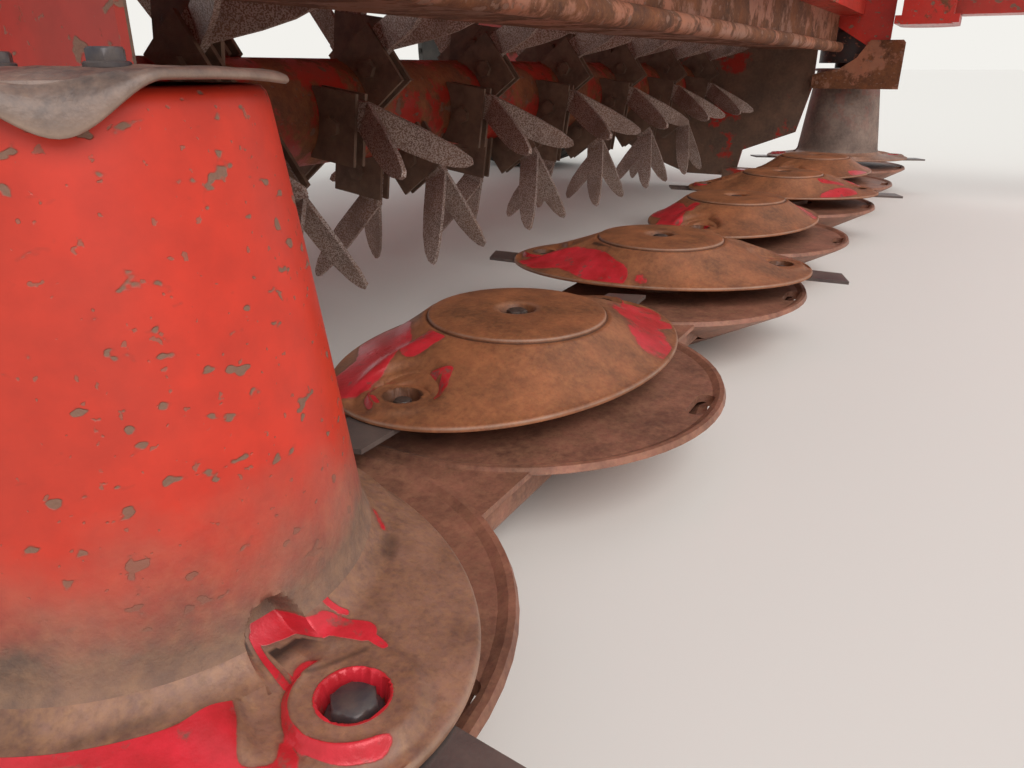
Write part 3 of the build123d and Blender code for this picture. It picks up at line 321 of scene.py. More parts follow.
def rusted_pressing(name, rust, paint="#c4262a", rough=0.46, size_mm=60):
    """Pressed steel whose paint the crop has rubbed off: smooth orange rust with a dull sheen.

    The paint attribute says where some of the red paint is left, with ragged edges, and where it
    falls under 0 the steel is painted near black as shade. The attribute worn says where edges are
    rubbed pale."""
    material, tree, shader, coords = start_material(name)
    paint_and_shade = add_node(tree, "ShaderNodeAttribute", out="Fac", attribute_name="paint_and_shade")
    worn = add_node(tree, "ShaderNodeAttribute", out="Fac", attribute_name="worn")
    ragged = blotches(tree, coords, 34, 0.25, 0.75, detail=9, roughness=0.62)
    level = add_node(tree, MATH, {0: scaled(tree, ragged, 0.45), 1: paint_and_shade}, 0, operation="ADD")
    left = add_node(tree, RANGE, {"Value": level, "From Min": 0.70, "From Max": 0.80}, 0)
    halo = add_node(tree, RANGE, {"Value": level, "From Min": 0.45, "From Max": 0.74}, 0)
    # Painted shade: under 0 the paint attribute paints the steel near black in holes, round the hub, in
    # creases and along steps
    grease_and_painted_shade = add_node(tree, RANGE, {"Value": paint_and_shade, "From Min": -0.05, "From Max": -1.0}, 0)
    rubbed = blotches(tree, coords, 160, 0.35, 0.7, shift=(2, 6, 2))
    speck = blotches(tree, coords, 3, 0.5, 0.72, detail=3, shift=(1, 1, 4))
    tone = layered(tree, linear(paint), (blotches(tree, coords, 30, 0.35, 0.75), linear("#a82523")),
                   (blotches(tree, coords, 14, 0.58, 0.68, 8, shift=(4, 1, 1)), linear("#8d564c")))
    colour = layered(
        tree, rust_tones(tree, coords, *rust, size_mm), (scaled(tree, rubbed, 0.3), linear("#5e3624")),
        (scaled(tree, speck, 0.22), linear("#33211a")), (scaled(tree, halo, 0.45), linear("#7a342a")),
        (left, tone), (grease_and_painted_shade, linear("#2a201c")), (scaled(tree, worn, ragged, 1.1), linear("#a98e7c")))
    roughness = add_node(tree, RANGE, {"Value": left, "To Min": rough, "To Max": 0.26}, 0)
    roughness = add_node(tree, MATH, {0: scaled(tree, rubbed, 0.16), 1: roughness}, 0, operation="ADD")
    pits = scaled(tree, blotches(tree, coords, 3.5, 0.25, 0.8, detail=4), 0.6)
    edge = add_node(tree, MATH, {0: pits, 1: scaled(tree, left, 0.6)}, 0, operation="ADD")
    finish_shader(tree, shader, colour, roughness, edge, 0.3, metallic=0.1)
    return material


def pitted_steel(name, dark, light, rust, size_mm, rough, metallic):
    """Spring steel worn bare by the crop and pitted by rust: a fine pale speckle over brown."""
    material, tree, shader, coords = start_material(name)
    speck = blotches(tree, coords, size_mm, 0.47, 0.53, detail=2, roughness=0.5)
    drift = blotches(tree, coords, 50, 0.35, 0.7)
    stain = blotches(tree, coords, 90, 0.5, 0.65, detail=7, shift=(3, 3, 1))
    colour = layered(tree, linear(dark), (drift, linear(rust)), (speck, linear(light)),
                     (scaled(tree, stain, 0.75), linear(dark)))
    roughness = add_node(tree, RANGE, {"Value": speck, "To Min": rough + 0.25, "To Max": rough}, 0)
    finish_shader(tree, shader, colour, roughness, speck, 0.3, metallic)
    return material


def plain_finish(name, colour, second, rough, metallic=0.0, size_mm=30, bump_mm=0.1, coat=0.0):
    """A finish with a soft drift between two tones, for rubber, plastic, black paint or chrome."""
    material, tree, shader, coords = start_material(name)
    drift = blotches(tree, coords, size_mm, 0.3, 0.75, detail=7)
    fine = blotches(tree, coords, 2.5, 0.2, 0.8, detail=3)
    roughness = add_node(tree, RANGE, {"Value": drift, "To Min": rough, "To Max": rough + 0.15}, 0)
    tone = layered(tree, linear(colour), (drift, linear(second)))
    finish_shader(tree, shader, tone, roughness, fine, bump_mm, metallic)
    shader.inputs["Coat Weight"].default_value = coat
    return material


def put(name, data):
    """A new object in the scene."""
    item = bpy.data.objects.new(name, data)
    bpy.context.scene.collection.objects.link(item)
    return item


def mesh_piece(name, points, faces, materials, body):
    """A smooth mesh object with its finishes that rides on a body."""
    mesh = bpy.data.meshes.new(name)
    mesh.from_pydata([tuple(p) for p in points], [], faces)
    mesh.update()
    for material in materials:
        mesh.materials.append(material)
    mesh.polygons.foreach_set("use_smooth", [True] * len(mesh.polygons))
    piece = put(name, mesh)
    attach(piece, body)
    return piece


def smooth_step(value, low, high):
    """0 at low, 1 at high and a soft rise between, also where low is the larger."""
    t = np.clip((value - low) / (high - low), 0, 1)
    return t * t * (3 - 2 * t)


def wall_faces(rings, columns):
    """Quads between rings of points, with a point at each pole: index 0 and the last one."""
    faces = []
    for j in range(columns):
        k = (j + 1) % columns
        faces.append((0, 1 + j, 1 + k))
        for i in range(rings - 1):
            a = 1 + i * columns
            b = a + columns
            faces.append((a + j, b + j, b + k, a + k))
        last = 1 + (rings - 1) * columns
        faces.append((last + k, last + j, 1 + rings * columns))
    return faces


def hex_bolt(place, across, height, turn):
    """Points and faces of a bolt head: a round flange under a hexagon with a worn top edge."""
    points, faces = [], []
    around = 24
    rows = ((0.66, 0.0, False), (0.66, 0.22, False), (0.6, 0.3, False), (0.5, 0.31, True),
            (0.5, 0.88, True), (0.48, 1.0, False))
    for share, level, cornered in rows:
        for j in range(around):
            angle = math.tau * j / around
            reach = across * share
            if cornered:
                reach = across / 2 / math.cos((angle % (math.tau / 6)) - math.tau / 12)
            points.append((place[0] + reach * math.cos(angle + turn),
                           place[1] + reach * math.sin(angle + turn), place[2] + height * level))
    for i in range(len(rows) - 1):
        low, high = i * around, (i + 1) * around
        for j in range(around):
            k = (j + 1) % around
            faces.append((low + j, low + k, high + k, high + j))
    faces.append(tuple(range(len(points) - around, len(points))))
    faces.append(tuple(range(around - 1, -1, -1)))
    return points, faces


def polar_shell(name, centre, turn, theta, rings, materials, body, bolts):
    """A closed shell of rings round an upright axis, with bolt heads in its last finish.

    A ring holds, for every angle, its radius, its height, the paint left (under 0 a painted shade) and
    the wear of its edge."""
    angle = theta + math.radians(turn)
    even = np.ones_like(theta)
    points = [(centre[0], centre[1], float(np.mean(rings[0][1])))]
    marks = {"paint_and_shade": [float(np.mean(rings[0][2]))], "worn": [0.0]}
    for radius, height, paint_and_shade, worn in rings:
        xs = centre[0] + radius * np.cos(angle)
        ys = centre[1] + radius * np.sin(angle)
        points += list(zip(xs.tolist(), ys.tolist(), (height * even).tolist()))
        marks["paint_and_shade"] += (paint_and_shade * even).tolist()
        marks["worn"] += (worn * even).tolist()
    points.append((centre[0], centre[1], float(np.mean(rings[-1][1]))))
    faces = wall_faces(len(rings), len(theta))
    shell_faces = len(faces)
    for reach, bearing, level, across, height in bolts:
        bearing = math.radians(bearing)
        place = (centre[0] + reach * math.cos(bearing), centre[1] + reach * math.sin(bearing), level)
        more, sides = hex_bolt(place, across, height, bearing + reach * 9)
        faces += [tuple(i + len(points) for i in side) for side in sides]
        points += more
    piece = mesh_piece(name, points, faces, materials, body)
    for key, values in marks.items():
        values += [0.0] * (len(points) - len(values))
        piece.data.attributes.new(key, "FLOAT", "POINT").data.foreach_set("value", values)
    slots = [0] * shell_faces + [len(materials) - 1] * (len(faces) - shell_faces)
    piece.data.polygons.foreach_set("material_index", slots)
    piece.data.set_sharp_from_angle(angle=math.radians(50))
    return piece


def oval_radius(theta):
    """Radius of the oval rim at an angle from its long axis."""
    a, b = HALF_LENGTH, HALF_WIDTH
    return a * b / np.sqrt((b * np.cos(theta)) ** 2 + (a * np.sin(theta)) ** 2)


def crowded_angles(columns):
    """Angles round a turn, crowded towards the long axis, where the knife seats are."""
    even = np.linspace(0, 2 * math.pi, columns, endpoint=False)
    return even - 0.3 * np.sin(2 * even)


def lobe_places(radius, theta, side):
    """Reach along the nearer lobe and offset from its middle, below 0 on the spared side."""
    along = radius * np.cos(theta)
    across = radius * np.sin(theta)
    return np.abs(along), across * side * np.where(along < 0, -1.0, 1.0)


def knife_seat(radius, theta, height, seat, side, wall_paint_and_shade):
    """Presses the knife seats into a top: boss, bolt hole, groove beside it and crest behind.

    Returns the new height and how much paint the relief has left, and under 0 a painted shade in the
    bolt hole."""
    out, across = lobe_places(radius, theta, side)
    from_bolt = np.hypot(out - SEAT_REACH, across - SEAT_LEAD)
    bearing = np.arctan2(across - SEAT_LEAD, out - SEAT_REACH)
    off = np.abs(np.angle(np.exp(1j * (bearing + 1.72))))
    spared = smooth_step(off, 1.75, 1.35) * smooth_step(out, 0.205, 0.185)
    crest_line = -0.040 + 0.026 * ((out - 0.135) / 0.052) ** 2
    crest = np.exp(-((across - crest_line) / 0.010) ** 2) * smooth_step(out, 0.080, 0.11)
    height = height + CREST_HEIGHT * crest * smooth_step(out, 0.199, 0.170)
    flat = 1 - smooth_step(from_bolt, BOSS_R, BOSS_R + 0.008)
    height = height + (seat - height) * flat
    groove = smooth_step(from_bolt, BOSS_R, BOSS_R + 0.005) * (1 - smooth_step(from_bolt, 0.038, 0.047))
    height = height - GROOVE_DEPTH * groove * spared
    lip = np.exp(-((from_bolt - BOSS_R) / 0.0022) ** 2) * spared
    height = height + LIP_HEIGHT * lip
    hole = 1 - smooth_step(from_bolt, HOLE_R - 0.0022, HOLE_R)
    height = height - HOLE_DEPTH * hole
    wall = smooth_step(np.abs(from_bolt - HOLE_R + 0.0006), 0.0034, 0.0012)
    flank = np.exp(-((from_bolt - BOSS_R - 0.0020) / 0.0026) ** 2) * spared
    inner = np.exp(-((from_bolt - 0.036) / 0.005) ** 2) * smooth_step(np.abs(bearing - 2.4), 0.7, 0.3)
    # The hole's wall takes the given wall mark: red paint above 0, painted shade below 0
    mark = np.maximum(0.95 * flank, 0.4 * inner) * (1 - wall) + wall_paint_and_shade * wall
    # Painted shade: the floor of the bolt hole is marked under 0, so that it is painted dark
    return height, mark - 0.95 * hole * (1 - wall)


def pressed_ring(name, theta, height, share, seat, wall_paint_and_shade, radius, lap=0.0):
    """One ring of an oval top with its knife seats, spared paint and strokes.

    share is how far the ring lies towards the rim. The spared paint is read lap further out."""
    turn, side, *ends = ROTORS[name]
    height, mark = knife_seat(radius, theta, height, seat, side, wall_paint_and_shade)
    painted = spared_paint(radius + lap, theta, side, ends)
    mark = np.where(mark < -0.1, mark, np.maximum(mark, painted))
    mark = stroked(mark, radius, theta, turn, name)
    return radius, height, mark * (1 - smooth_step(share, 0.985, 1.0)), 0


def spared_paint(radius, theta, side, ends):
    """Paint left on the flanks of the two lobes that turn away from the crop."""
    out, across = lobe_places(radius, theta, side)
    amount = np.where(np.cos(theta) > 0, ends[0], ends[1])
    near = stroke_distance(out, across, 0.168, -0.050, 0.112, -0.064)
    far = stroke_distance(out, across, 0.112, -0.064, 0.060, -0.114)
    return amount * np.maximum(smooth_step(near, 0.032, 0.014), smooth_step(far, 0.034, 0.016))


def stroke_distance(x, y, x0, y0, x1, y1):
    """Distance of points from a straight stroke."""
    length = math.hypot(x1 - x0, y1 - y0)
    share = np.clip(((x - x0) * (x1 - x0) + (y - y0) * (y1 - y0)) / length ** 2, 0, 1)
    return np.hypot(x - x0 - share * (x1 - x0), y - y0 - share * (y1 - y0))


def stroked(mark, radius, theta, turn, name):
    """Adds the strokes of paint and of painted shade of a rotor to its marks."""
    x = 1000 * radius * np.cos(theta + math.radians(turn))
    y = 1000 * radius * np.sin(theta + math.radians(turn))
    for x0, y0, x1, y1, half, amount in STROKES[name]:
        cover = smooth_step(stroke_distance(x, y, x0, y0, x1, y1), half * 1.45 + 1, half * 0.55 - 1)
        if amount > 0:
            mark = np.where(cover > 0, np.maximum(mark, amount * cover), mark)
        else:
            # Painted shade: a stroke below 0 darkens the mark
            mark = mark * (1 - cover) + amount * cover
    return mark


def rim_rings(rim, worn):
    """The edge of an oval pressing: rolled over, upright and under."""
    return [(rim + inset, height, 0, wear) for inset, height, wear in (
        (-0.0018, RIM_TOP - 0.0002, 0), (-0.0010, RIM_TOP - 0.0008, 0.3),
        (-0.0003, RIM_TOP - 0.0016, worn), (0.0, RIM_TOP - 0.0028, 0.1),
        (0.0, RIM_LOW + 0.001, 0), (-0.0015, RIM_LOW, 0))]


def dish(high, low, share):
    """Height of a dish at a share of the way from its shoulder to its rim."""
    return high - (high - low) * (1 - (1 - share) ** DISH_BEND)


def disc_rings(name, theta):
    """Rings of an oval disc from the middle of its cap over the rim to its hub."""
    even = np.ones_like(theta)
    # Marks under 0 are painted shade: in the sunken hub and in the crease under the cap's edge
    rings = [(radius * even, height, mark, worn) for radius, height, mark, worn in (
        (0.003, 0.1310, -0.8, 0), (0.0125, 0.1310, -0.8, 0), (0.0145, 0.1322, -0.6, 0),
        (0.0165, 0.1366, -0.3, 0), (0.0190, 0.1384, 0, 0.3), (0.0240, 0.1391, 0, 0),
        (0.035, 0.1391, 0, 0), (0.050, 0.1386, 0, 0), (0.063, 0.1379, 0, 0), (0.073, 0.1370, 0, 0),
        (0.0790, 0.1361, 0, 0), (0.0814, 0.1357, 0, 0), (0.0824, 0.1353, 0, 0.5),
        (0.0830, 0.1345, 0, 0.9), (0.0832, 0.1334, -0.2, 0.1), (0.0834, 0.1322, -0.7, 0),
        (0.0842, 0.1318, -0.6, 0), (0.0862, 0.1324, 0, 0))]
    rim = oval_radius(theta)
    inner = SHOULDER_R
    seat = (SEAT_REACH - inner) / (HALF_LENGTH - EDGE_ROLL - inner)
    seat = dish(SHOULDER_TOP, RIM_TOP, seat) - DISC_SEAT_SINK
    for t in np.linspace(0, 1, 72)[1:]:
        radius = inner + (rim - EDGE_ROLL - inner) * t
        height = dish(SHOULDER_TOP, RIM_TOP, t) * even
        # The seat's hole wall is marked -0.6, a painted shade
        rings.append(pressed_ring(name, theta, height, t, seat, -0.6, radius))
    rings += rim_rings(rim, 0.9)
    for t in np.linspace(1, 0, 48)[1:]:
        radius = inner + (rim - 0.008 - inner) * t
        out, across = lobe_places(radius, theta, ROTORS[name][1])
        from_bolt = np.hypot(out - SEAT_REACH, across - SEAT_LEAD)
        cup = 0.0125 * smooth_step(from_bolt, HOLE_R + 0.007, HOLE_R + 0.002)
        rings.append((radius, dish(SHOULDER_UNDER, RIM_LOW, t) - cup, 0, 0))
    rings += [(radius * even, height, 0, 0) for radius, height in (
        (0.06, 0.1275), (HUB_R, 0.1265), (HUB_R, HUB_LOW + 0.003), (HUB_R - 0.003, HUB_LOW),
        (0.01, HUB_LOW))]
    return rings


def drum_rings(name, theta):
    """Rings of a drum from its top over the cone, the foot and its oval base to the hub."""
    even = np.ones_like(theta)
    top = DRUM_TOP
    start = ((0.01, top), (0.080, top), (0.0835, top - 0.0006), (0.0858, top - 0.003))
    if name == "drum_left":
        start = ((0.01, 0.346), (0.088, 0.346), (0.094, 0.3445), (0.095, 0.342),
                 (0.093, 0.3395), (0.0862, 0.3385))
    rings = [(radius * even, height, 1, 0) for radius, height in start]
    cone = []
    for t in np.linspace(0, 1, 64)[1:]:
        cone.append((CONE_TOP_R + (WAIST_R - CONE_TOP_R) * t ** 0.94,
                     (top - 0.004) * (1 - t) + WAIST_Z * t))
    inner = FOOT_R
    for t in np.linspace(0, 1, 18)[1:]:
        turned = t * math.pi / 2
        cone.append((WAIST_R + (FOOT_R - WAIST_R) * (1 - math.cos(turned)),
                     WAIST_Z - (WAIST_Z - BASE_TOP) * math.sin(turned)))
    turn = ROTORS[name][0]
    arc = np.abs(np.sin(theta)) * 0.115
    for radius, height in cone:
        dent = smooth_step(np.hypot(arc / 0.0140, (height - 0.113) / 0.020), 1.08, 0.8)
        stepped = np.exp(-((np.degrees(theta) + turn + 60) / 18) ** 2)
        stepped = stepped * math.exp(-((height - 0.1125) / 0.004) ** 2)
        # Painted shade: the dent's inside is marked under 0, so that it is painted dark
        mark = stroked(-0.9 * dent, radius * even, theta, turn, name)
        rings.append((radius - 0.014 * dent - 0.002 * stepped, height - 0.0015 * dent, mark, 0))
    rim = oval_radius(theta)
    for t in np.linspace(0, 1, 64)[1:]:
        radius = inner + (rim - EDGE_ROLL - inner) * t
        height = (BASE_TOP - (BASE_TOP - RIM_TOP) * t ** 1.1) * even
        rings.append(pressed_ring(name, theta, height, t, DRUM_SEAT_TOP, 0.8, radius, 0.012))
    rings += rim_rings(rim, 0.6)
    rings += [(radius * even, height, 0, 0) for radius, height in (
        (HUB_R + 0.02, RIM_LOW), (HUB_R, RIM_LOW - 0.001), (HUB_R, HUB_LOW + 0.003),
        (HUB_R - 0.003, HUB_LOW), (0.01, HUB_LOW))]
    return rings


def degrees_off(theta, bearing):
    """How far angles lie from a bearing in degrees, at most half a turn either way."""
    return np.degrees(np.angle(np.exp(1j * (theta - math.radians(bearing)))))


def cap_rings(theta):
    """Rings of the drum's buckled cap plate, with a rolled edge and two lobes bent down."""
    even = np.ones_like(theta)
    lobe = 0 * even
    for bearing in (-121.5, 58.5):
        lobe = np.maximum(lobe, 1 - smooth_step(np.abs(degrees_off(theta, bearing)), 0, 22))
    droop = 0.0028 * np.exp(-(degrees_off(theta, -48) / 24) ** 2)
    rings = []
    for radius in np.linspace(0.004, 0.090, 34):
        wave = 0.0011 * np.sin(5 * theta + radius * 60) * radius / 0.09
        wave = wave + 0.0007 * np.sin(11 * theta - radius * 90)
        sag = 0.006 * lobe * smooth_step(radius, 0.070, 0.092) + droop * smooth_step(radius, 0.05, 0.09)
        rings.append((radius * even, 0.3452 + wave * smooth_step(radius, 0.01, 0.05) - sag, 0, 0))
    for radius, height, drop, worn in (
            (0.0920, 0.3456, 0.008, 0), (0.0940, 0.3455, 0.0105, 0), (0.0951, 0.3450, 0.0130, 0.1),
            (0.0957, 0.3443, 0.0150, 0.3), (0.0960, 0.3436, 0.0166, 0.5), (0.0961, 0.3429, 0.0177, 0.9),
            (0.0956, 0.3422, 0.0182, 0.7), (0.0946, 0.3416, 0.0178, 0.1), (0.0928, 0.3414, 0.0145, 0),
            (0.0910, 0.3414, 0.006, 0), (0.088, 0.3415, 0.0, 0), (0.02, 0.3415, 0.0, 0)):
        rings.append((radius * even, height - drop * lobe - (droop if height > 0.3415 else 0), 0, worn))
    return rings


def start_tree(name, *sizes):
    """A Geometry Nodes tree that takes points, a finish and named sizes with their defaults."""
    tree = bpy.data.node_groups.new(name, "GeometryNodeTree")
    tree.interface.new_socket("Geometry", in_out="INPUT", socket_type="NodeSocketGeometry")
    tree.interface.new_socket("Finish", in_out="INPUT", socket_type="NodeSocketMaterial")
    for label, default in sizes:
        kind = "NodeSocketInt" if isinstance(default, int) else "NodeSocketFloat"
        tree.interface.new_socket(label, in_out="INPUT", socket_type=kind).default_value = default
    tree.interface.new_socket("Geometry", in_out="OUTPUT", socket_type="NodeSocketGeometry")
    return tree, add_node(tree, "NodeGroupInput").outputs


def set_on_points(tree, given, shape):
    """Ends a tree: the shape on every point, Z along the point's aim and X near the frame's X."""
    aim = add_node(tree, "GeometryNodeInputNamedAttribute", {"Name": "aim"}, data_type="FLOAT_VECTOR")
    aim = next(socket for socket in aim.outputs if socket.enabled)
    turned = add_node(tree, "FunctionNodeAlignRotationToVector", {"Vector": aim}, 0, axis="Z")
    level = add_node(tree, "FunctionNodeAlignRotationToVector", {
        "Rotation": turned, "Vector": (1, 0, 0)}, 0, axis="X", pivot_axis="Z")
    placed = add_node(tree, "GeometryNodeInstanceOnPoints", {
        "Points": given["Geometry"], "Instance": shape, "Rotation": level}, 0)
    real = add_node(tree, "GeometryNodeRealizeInstances", {0: placed}, 0)
    dressed = add_node(tree, "GeometryNodeSetMaterial", {
        "Geometry": real, "Material": given["Finish"]}, 0)
    add_node(tree, "NodeGroupOutput", {0: dressed})
    return tree


def lifted(tree, shape, height):
    """A shape raised along its own Z."""
    up = add_node(tree, "ShaderNodeCombineXYZ", {"Z": height}, 0)
    return add_node(tree, "GeometryNodeTransform", {"Geometry": shape, "Translation": up}, 0)


def bolt_tree():
    """Hexagon bolt heads, each on a round washer."""
    tree, given = start_tree("hex_bolts", ("Across", 0.016), ("Height", 0.008))
    corner = scaled(tree, given["Across"], 0.577)
    head = add_node(tree, "GeometryNodeMeshCylinder", {
        "Vertices": 6, "Radius": corner, "Depth": given["Height"]}, "Mesh")
    washer = add_node(tree, "GeometryNodeMeshCylinder", {
        "Vertices": 16, "Radius": scaled(tree, given["Across"], 0.8),
        "Depth": scaled(tree, given["Height"], 0.3)}, "Mesh")
    both = add_node(tree, "GeometryNodeJoinGeometry")
    tree.links.new(lifted(tree, head, scaled(tree, given["Height"], 0.6)), both.inputs[0])
    tree.links.new(washer, both.inputs[0])
    return set_on_points(tree, given, both.outputs[0])


def tread_tree():
    """Rubber blocks for the shoulders of a ribbed tyre."""
    tree, given = start_tree("tread_blocks", ("Width", 0.040), ("Length", 0.016), ("Height", 0.009))
    size = add_node(tree, "ShaderNodeCombineXYZ", {
        "X": given["Width"], "Y": given["Length"], "Z": given["Height"]}, 0)
    return set_on_points(tree, given, add_node(tree, "GeometryNodeMeshCube", {"Size": size}, "Mesh"))


def coil_tree():
    """Close-wound extension springs of round wire."""
    tree, given = start_tree("spring_coils", ("Length", 0.43), ("Radius", 0.03), ("Wire", 0.0055),
                             ("Turns", 36))
    path = add_node(tree, "GeometryNodeCurveSpiral", {
        "Resolution": 20, "Rotations": given["Turns"], "Start Radius": given["Radius"],
        "End Radius": given["Radius"], "Height": given["Length"]}, 0)
    round_wire = add_node(tree, "GeometryNodeCurvePrimitiveCircle", {
        "Resolution": 8, "Radius": given["Wire"]}, 0)
    coil = add_node(tree, "GeometryNodeCurveToMesh", {
        "Curve": path, "Profile Curve": round_wire, "Fill Caps": True}, 0)
    return set_on_points(tree, given, coil)


def grown(name, tree, places, body, **given):
    """Runs a tree on points with their aims and keeps the result as a mesh that rides on a body."""
    mesh = bpy.data.meshes.new(name)
    mesh.from_pydata([place for place, aim in places], [], [])
    aims = [value for place, aim in places for value in aim]
    mesh.attributes.new("aim", "FLOAT_VECTOR", "POINT").data.foreach_set("vector", aims)
    carrier = put(name, mesh)
    modifier = carrier.modifiers.new(name, "NODES")
    modifier.node_group = tree
    for item in tree.interface.items_tree:
        if item.in_out == "INPUT" and item.name in given:
            modifier[item.identifier] = given[item.name]
    ready = carrier.evaluated_get(bpy.context.evaluated_depsgraph_get())
    result = bpy.data.meshes.new_from_object(ready)
    carrier.modifiers.clear()
    carrier.data = result
    if not result.polygons:
        raise RuntimeError(f"{name} grew nothing")
    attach(carrier, body)
    return carrier


def ring_places(node, centre, radius, first, last, count, aim):
    """Points of a ring found on a node's surface by looking along the aim, and their directions."""
    piece = frame["nodes"][node]
    corners = [piece.matrix_world @ vertex.co for vertex in piece.data.vertices]
    tree = BVHTree.FromPolygons(corners, [tuple(face.vertices) for face in piece.data.polygons])
    aim = Vector(aim)
    across = Vector((0, 1, 0)) if abs(aim.x) > 0.5 else Vector((1, 0, 0))
    up = aim.cross(across)
    places = []
    for k in range(count):
        angle = math.radians(first + (last - first) * k / max(count - 1, 1))
        start = Vector(centre) + radius * (across * math.cos(angle) + up * math.sin(angle))
        hit = tree.ray_cast(start, aim)[0]
        if hit is None:
            raise RuntimeError(f"no surface of {node} for bolt {k}")
        places.append((tuple(hit), tuple(-aim)))
    return places


def stage_floor(colour):
    """A pale floor that the camera sees near its own colour."""
    far = 300.0
    corners = [(-far, -far, 0), (far, -far, 0), (far, far, 0), (-far, far, 0)]
    mesh = bpy.data.meshes.new("floor")
    mesh.from_pydata(corners, [], [(0, 1, 2, 3)])
    # Matt backdrop card: an even pale ground that only takes soft shadows
    material, tree, shader, coords = start_material("pale_studio_floor")
    shader.inputs["Base Color"].default_value = linear(colour)
    shader.inputs["Roughness"].default_value = 0.85
    mesh.materials.append(material)
    put("floor", mesh)


def soft_sun(name, place, angle, power):
    """A broad soft light from a place towards the machine, as even as a large box light."""
    light = bpy.data.lights.new(name, "SUN")
    light.energy = power
    light.angle = math.radians(angle)
    holder = put(name, light)
    holder.location = place
    holder.rotation_euler = Vector(place).to_track_quat("Z", "Y").to_euler()


class MowerSizes(bpy.types.PropertyGroup):
    """Sizes and angles that a user would change."""

    camera_lens: bpy.props.FloatProperty(
        name="Camera lens", description="Focal length of the view along the cutting row", default=27.04)
    camera_yaw: bpy.props.FloatProperty(
        name="Camera yaw", description="Turn of the view from the machine's left towards its rear",
        default=math.radians(29.4), subtype="ANGLE")
    camera_pitch: bpy.props.FloatProperty(
        name="Camera pitch", description="How far the view looks down", default=math.radians(22.3),
        subtype="ANGLE")
    camera_place: bpy.props.FloatVectorProperty(
        name="Camera place", description="Camera from the right drum's foot on the ground", size=3,
        default=(-0.204, -0.335, 0.345), subtype="TRANSLATION", unit="LENGTH")
    tread_blocks: bpy.props.IntProperty(
        name="Tread blocks", description="Rubber blocks on each shoulder of a tyre", default=44)


class MowerColours(bpy.types.PropertyGroup):
    """Colours that a user would change, as sRGB hex codes."""

    drum: bpy.props.StringProperty(
        name="Drum", description="Red of the drums' paint", default="#dc3319")
    floor: bpy.props.StringProperty(
        name="Floor", description="Colour of the studio floor", default="#ece8e1")
    enamel: bpy.props.StringProperty(
        name="Enamel", description="Red of the frame's paint", default="#cd2d1f")


class MOWER_OT_finishes(bpy.types.Operator):
    """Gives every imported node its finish"""

    bl_idname = "mower.finishes"
    bl_label = "Finishes"

    def execute(self, context):
        red = context.scene.mower_colours.enamel
        # Sprayed enamel on plate: a deep red gloss, dulled by dust on top, with grey-brown chips
        enamel = worn_enamel("worn_red_enamel", bright=red)
        # Enamel on the turning tube: red between rust, and dark oily brackets that stand off it
        tube = worn_enamel("rotor_tube_enamel", bright=red, rust_at=0.45,
                           rust=("#6a3c28", "#a05c36", "#b8784a"), core=(ROTOR_Y, ROTOR_Z, 0.0685))
        # Enamel on the side plates: red outside, rubbed to dull brown steel where the crop passes
        sides = worn_enamel("side_plate_enamel", bright=red, inner=SIDE_INNER + 0.002)
        # Sheet that has lost its paint inside the hood: matt brown with darker rust drifts
        brown = worn_enamel("rusted_inner_sheet", bright="#ab6848", faded="#8a654f", rust_at=0.45,
                            rough=0.5)
        # Pressed wear steel that slides on soil: smooth purple-brown rust with a dull sheen
        shoe = rusted_pressing("rusted_shoe_steel", rust=("#6f493b", "#ab705b", "#c6926e"), size_mm=50)
        # Forged spring steel: pale pits over brown, drawn 1.8 mm wide, coarser than real, to show
        steel = pitted_steel("pitted_spring_steel", dark="#8c7266", light="#cdb8ad", rust="#a37d68",
                             size_mm=1.8, rough=0.45, metallic=0.25)
        # Hardened knife steel: grey, half bright from grinding, with brown stain
        blade = plain_finish("ground_knife_steel", "#5c5250", "#83736a", 0.32, metallic=0.4, size_mm=40)
        # Moulded tyre rubber: matt black, greyed by dust
        rubber = plain_finish("dusty_tyre_rubber", "#2a2825", "#55504a", 0.75, size_mm=60, bump_mm=0.4)
        # Enamel on the pressed rims: warm light grey, half matt, with a few rust chips
        rim = worn_enamel("rim_enamel", bright="#b9b6ad", faded="#a39e93", rough=0.4)
        # Black enamel on barrels: a dark satin shine
        black = plain_finish("black_enamel", "#16161a", "#2b2a2a", 0.35)
        # Hard chrome on ground rods: a bright mirror band
        chrome = plain_finish("chromed_rod", "#c9cbce", "#b9bcc0", 0.08, metallic=1.0, bump_mm=0.02)
        # Moulded acrylic lens: deep red under a clear gloss
        lens = plain_finish("lamp_lens_plastic", "#8e1412", "#a31a14", 0.15, coat=0.6)
        # Moulded polyethylene guard: black, slightly waxy, scuffed grey
        plastic = plain_finish("black_guard_plastic", "#1b1b1c", "#3a3937", 0.5, bump_mm=0.3)
        # Cast iron under old paint: dark grey and rough, with drifts of rust
        casting = worn_enamel("grey_cast_housing", bright="#3d3a38", faded="#2c2725", rough=0.55)
        finishes = {
            "knives": blade, "skid_shoes": shoe, "cutter_bar": shoe, "rotor_tines": steel,
            "jack_leg": steel, "deflector": brown, "drum_guard": brown, "rotor_tube": tube,
            "side_plate": sides, "tyre": rubber, "rim": rim, "lift_barrel": black,
            "swing_barrel": black, "relief_springs": black, "lift_rod": chrome,
            "swing_rod": chrome, "tail_lamps": lens, "drive_shaft": plastic,
            "header_gearbox": casting}
        for name, piece in frame["nodes"].items():
            start = next((key for key in finishes if name.startswith(key)), None)
            piece.data.materials.clear()
            piece.data.materials.append(finishes.get(start, enamel))
        return {"FINISHED"}


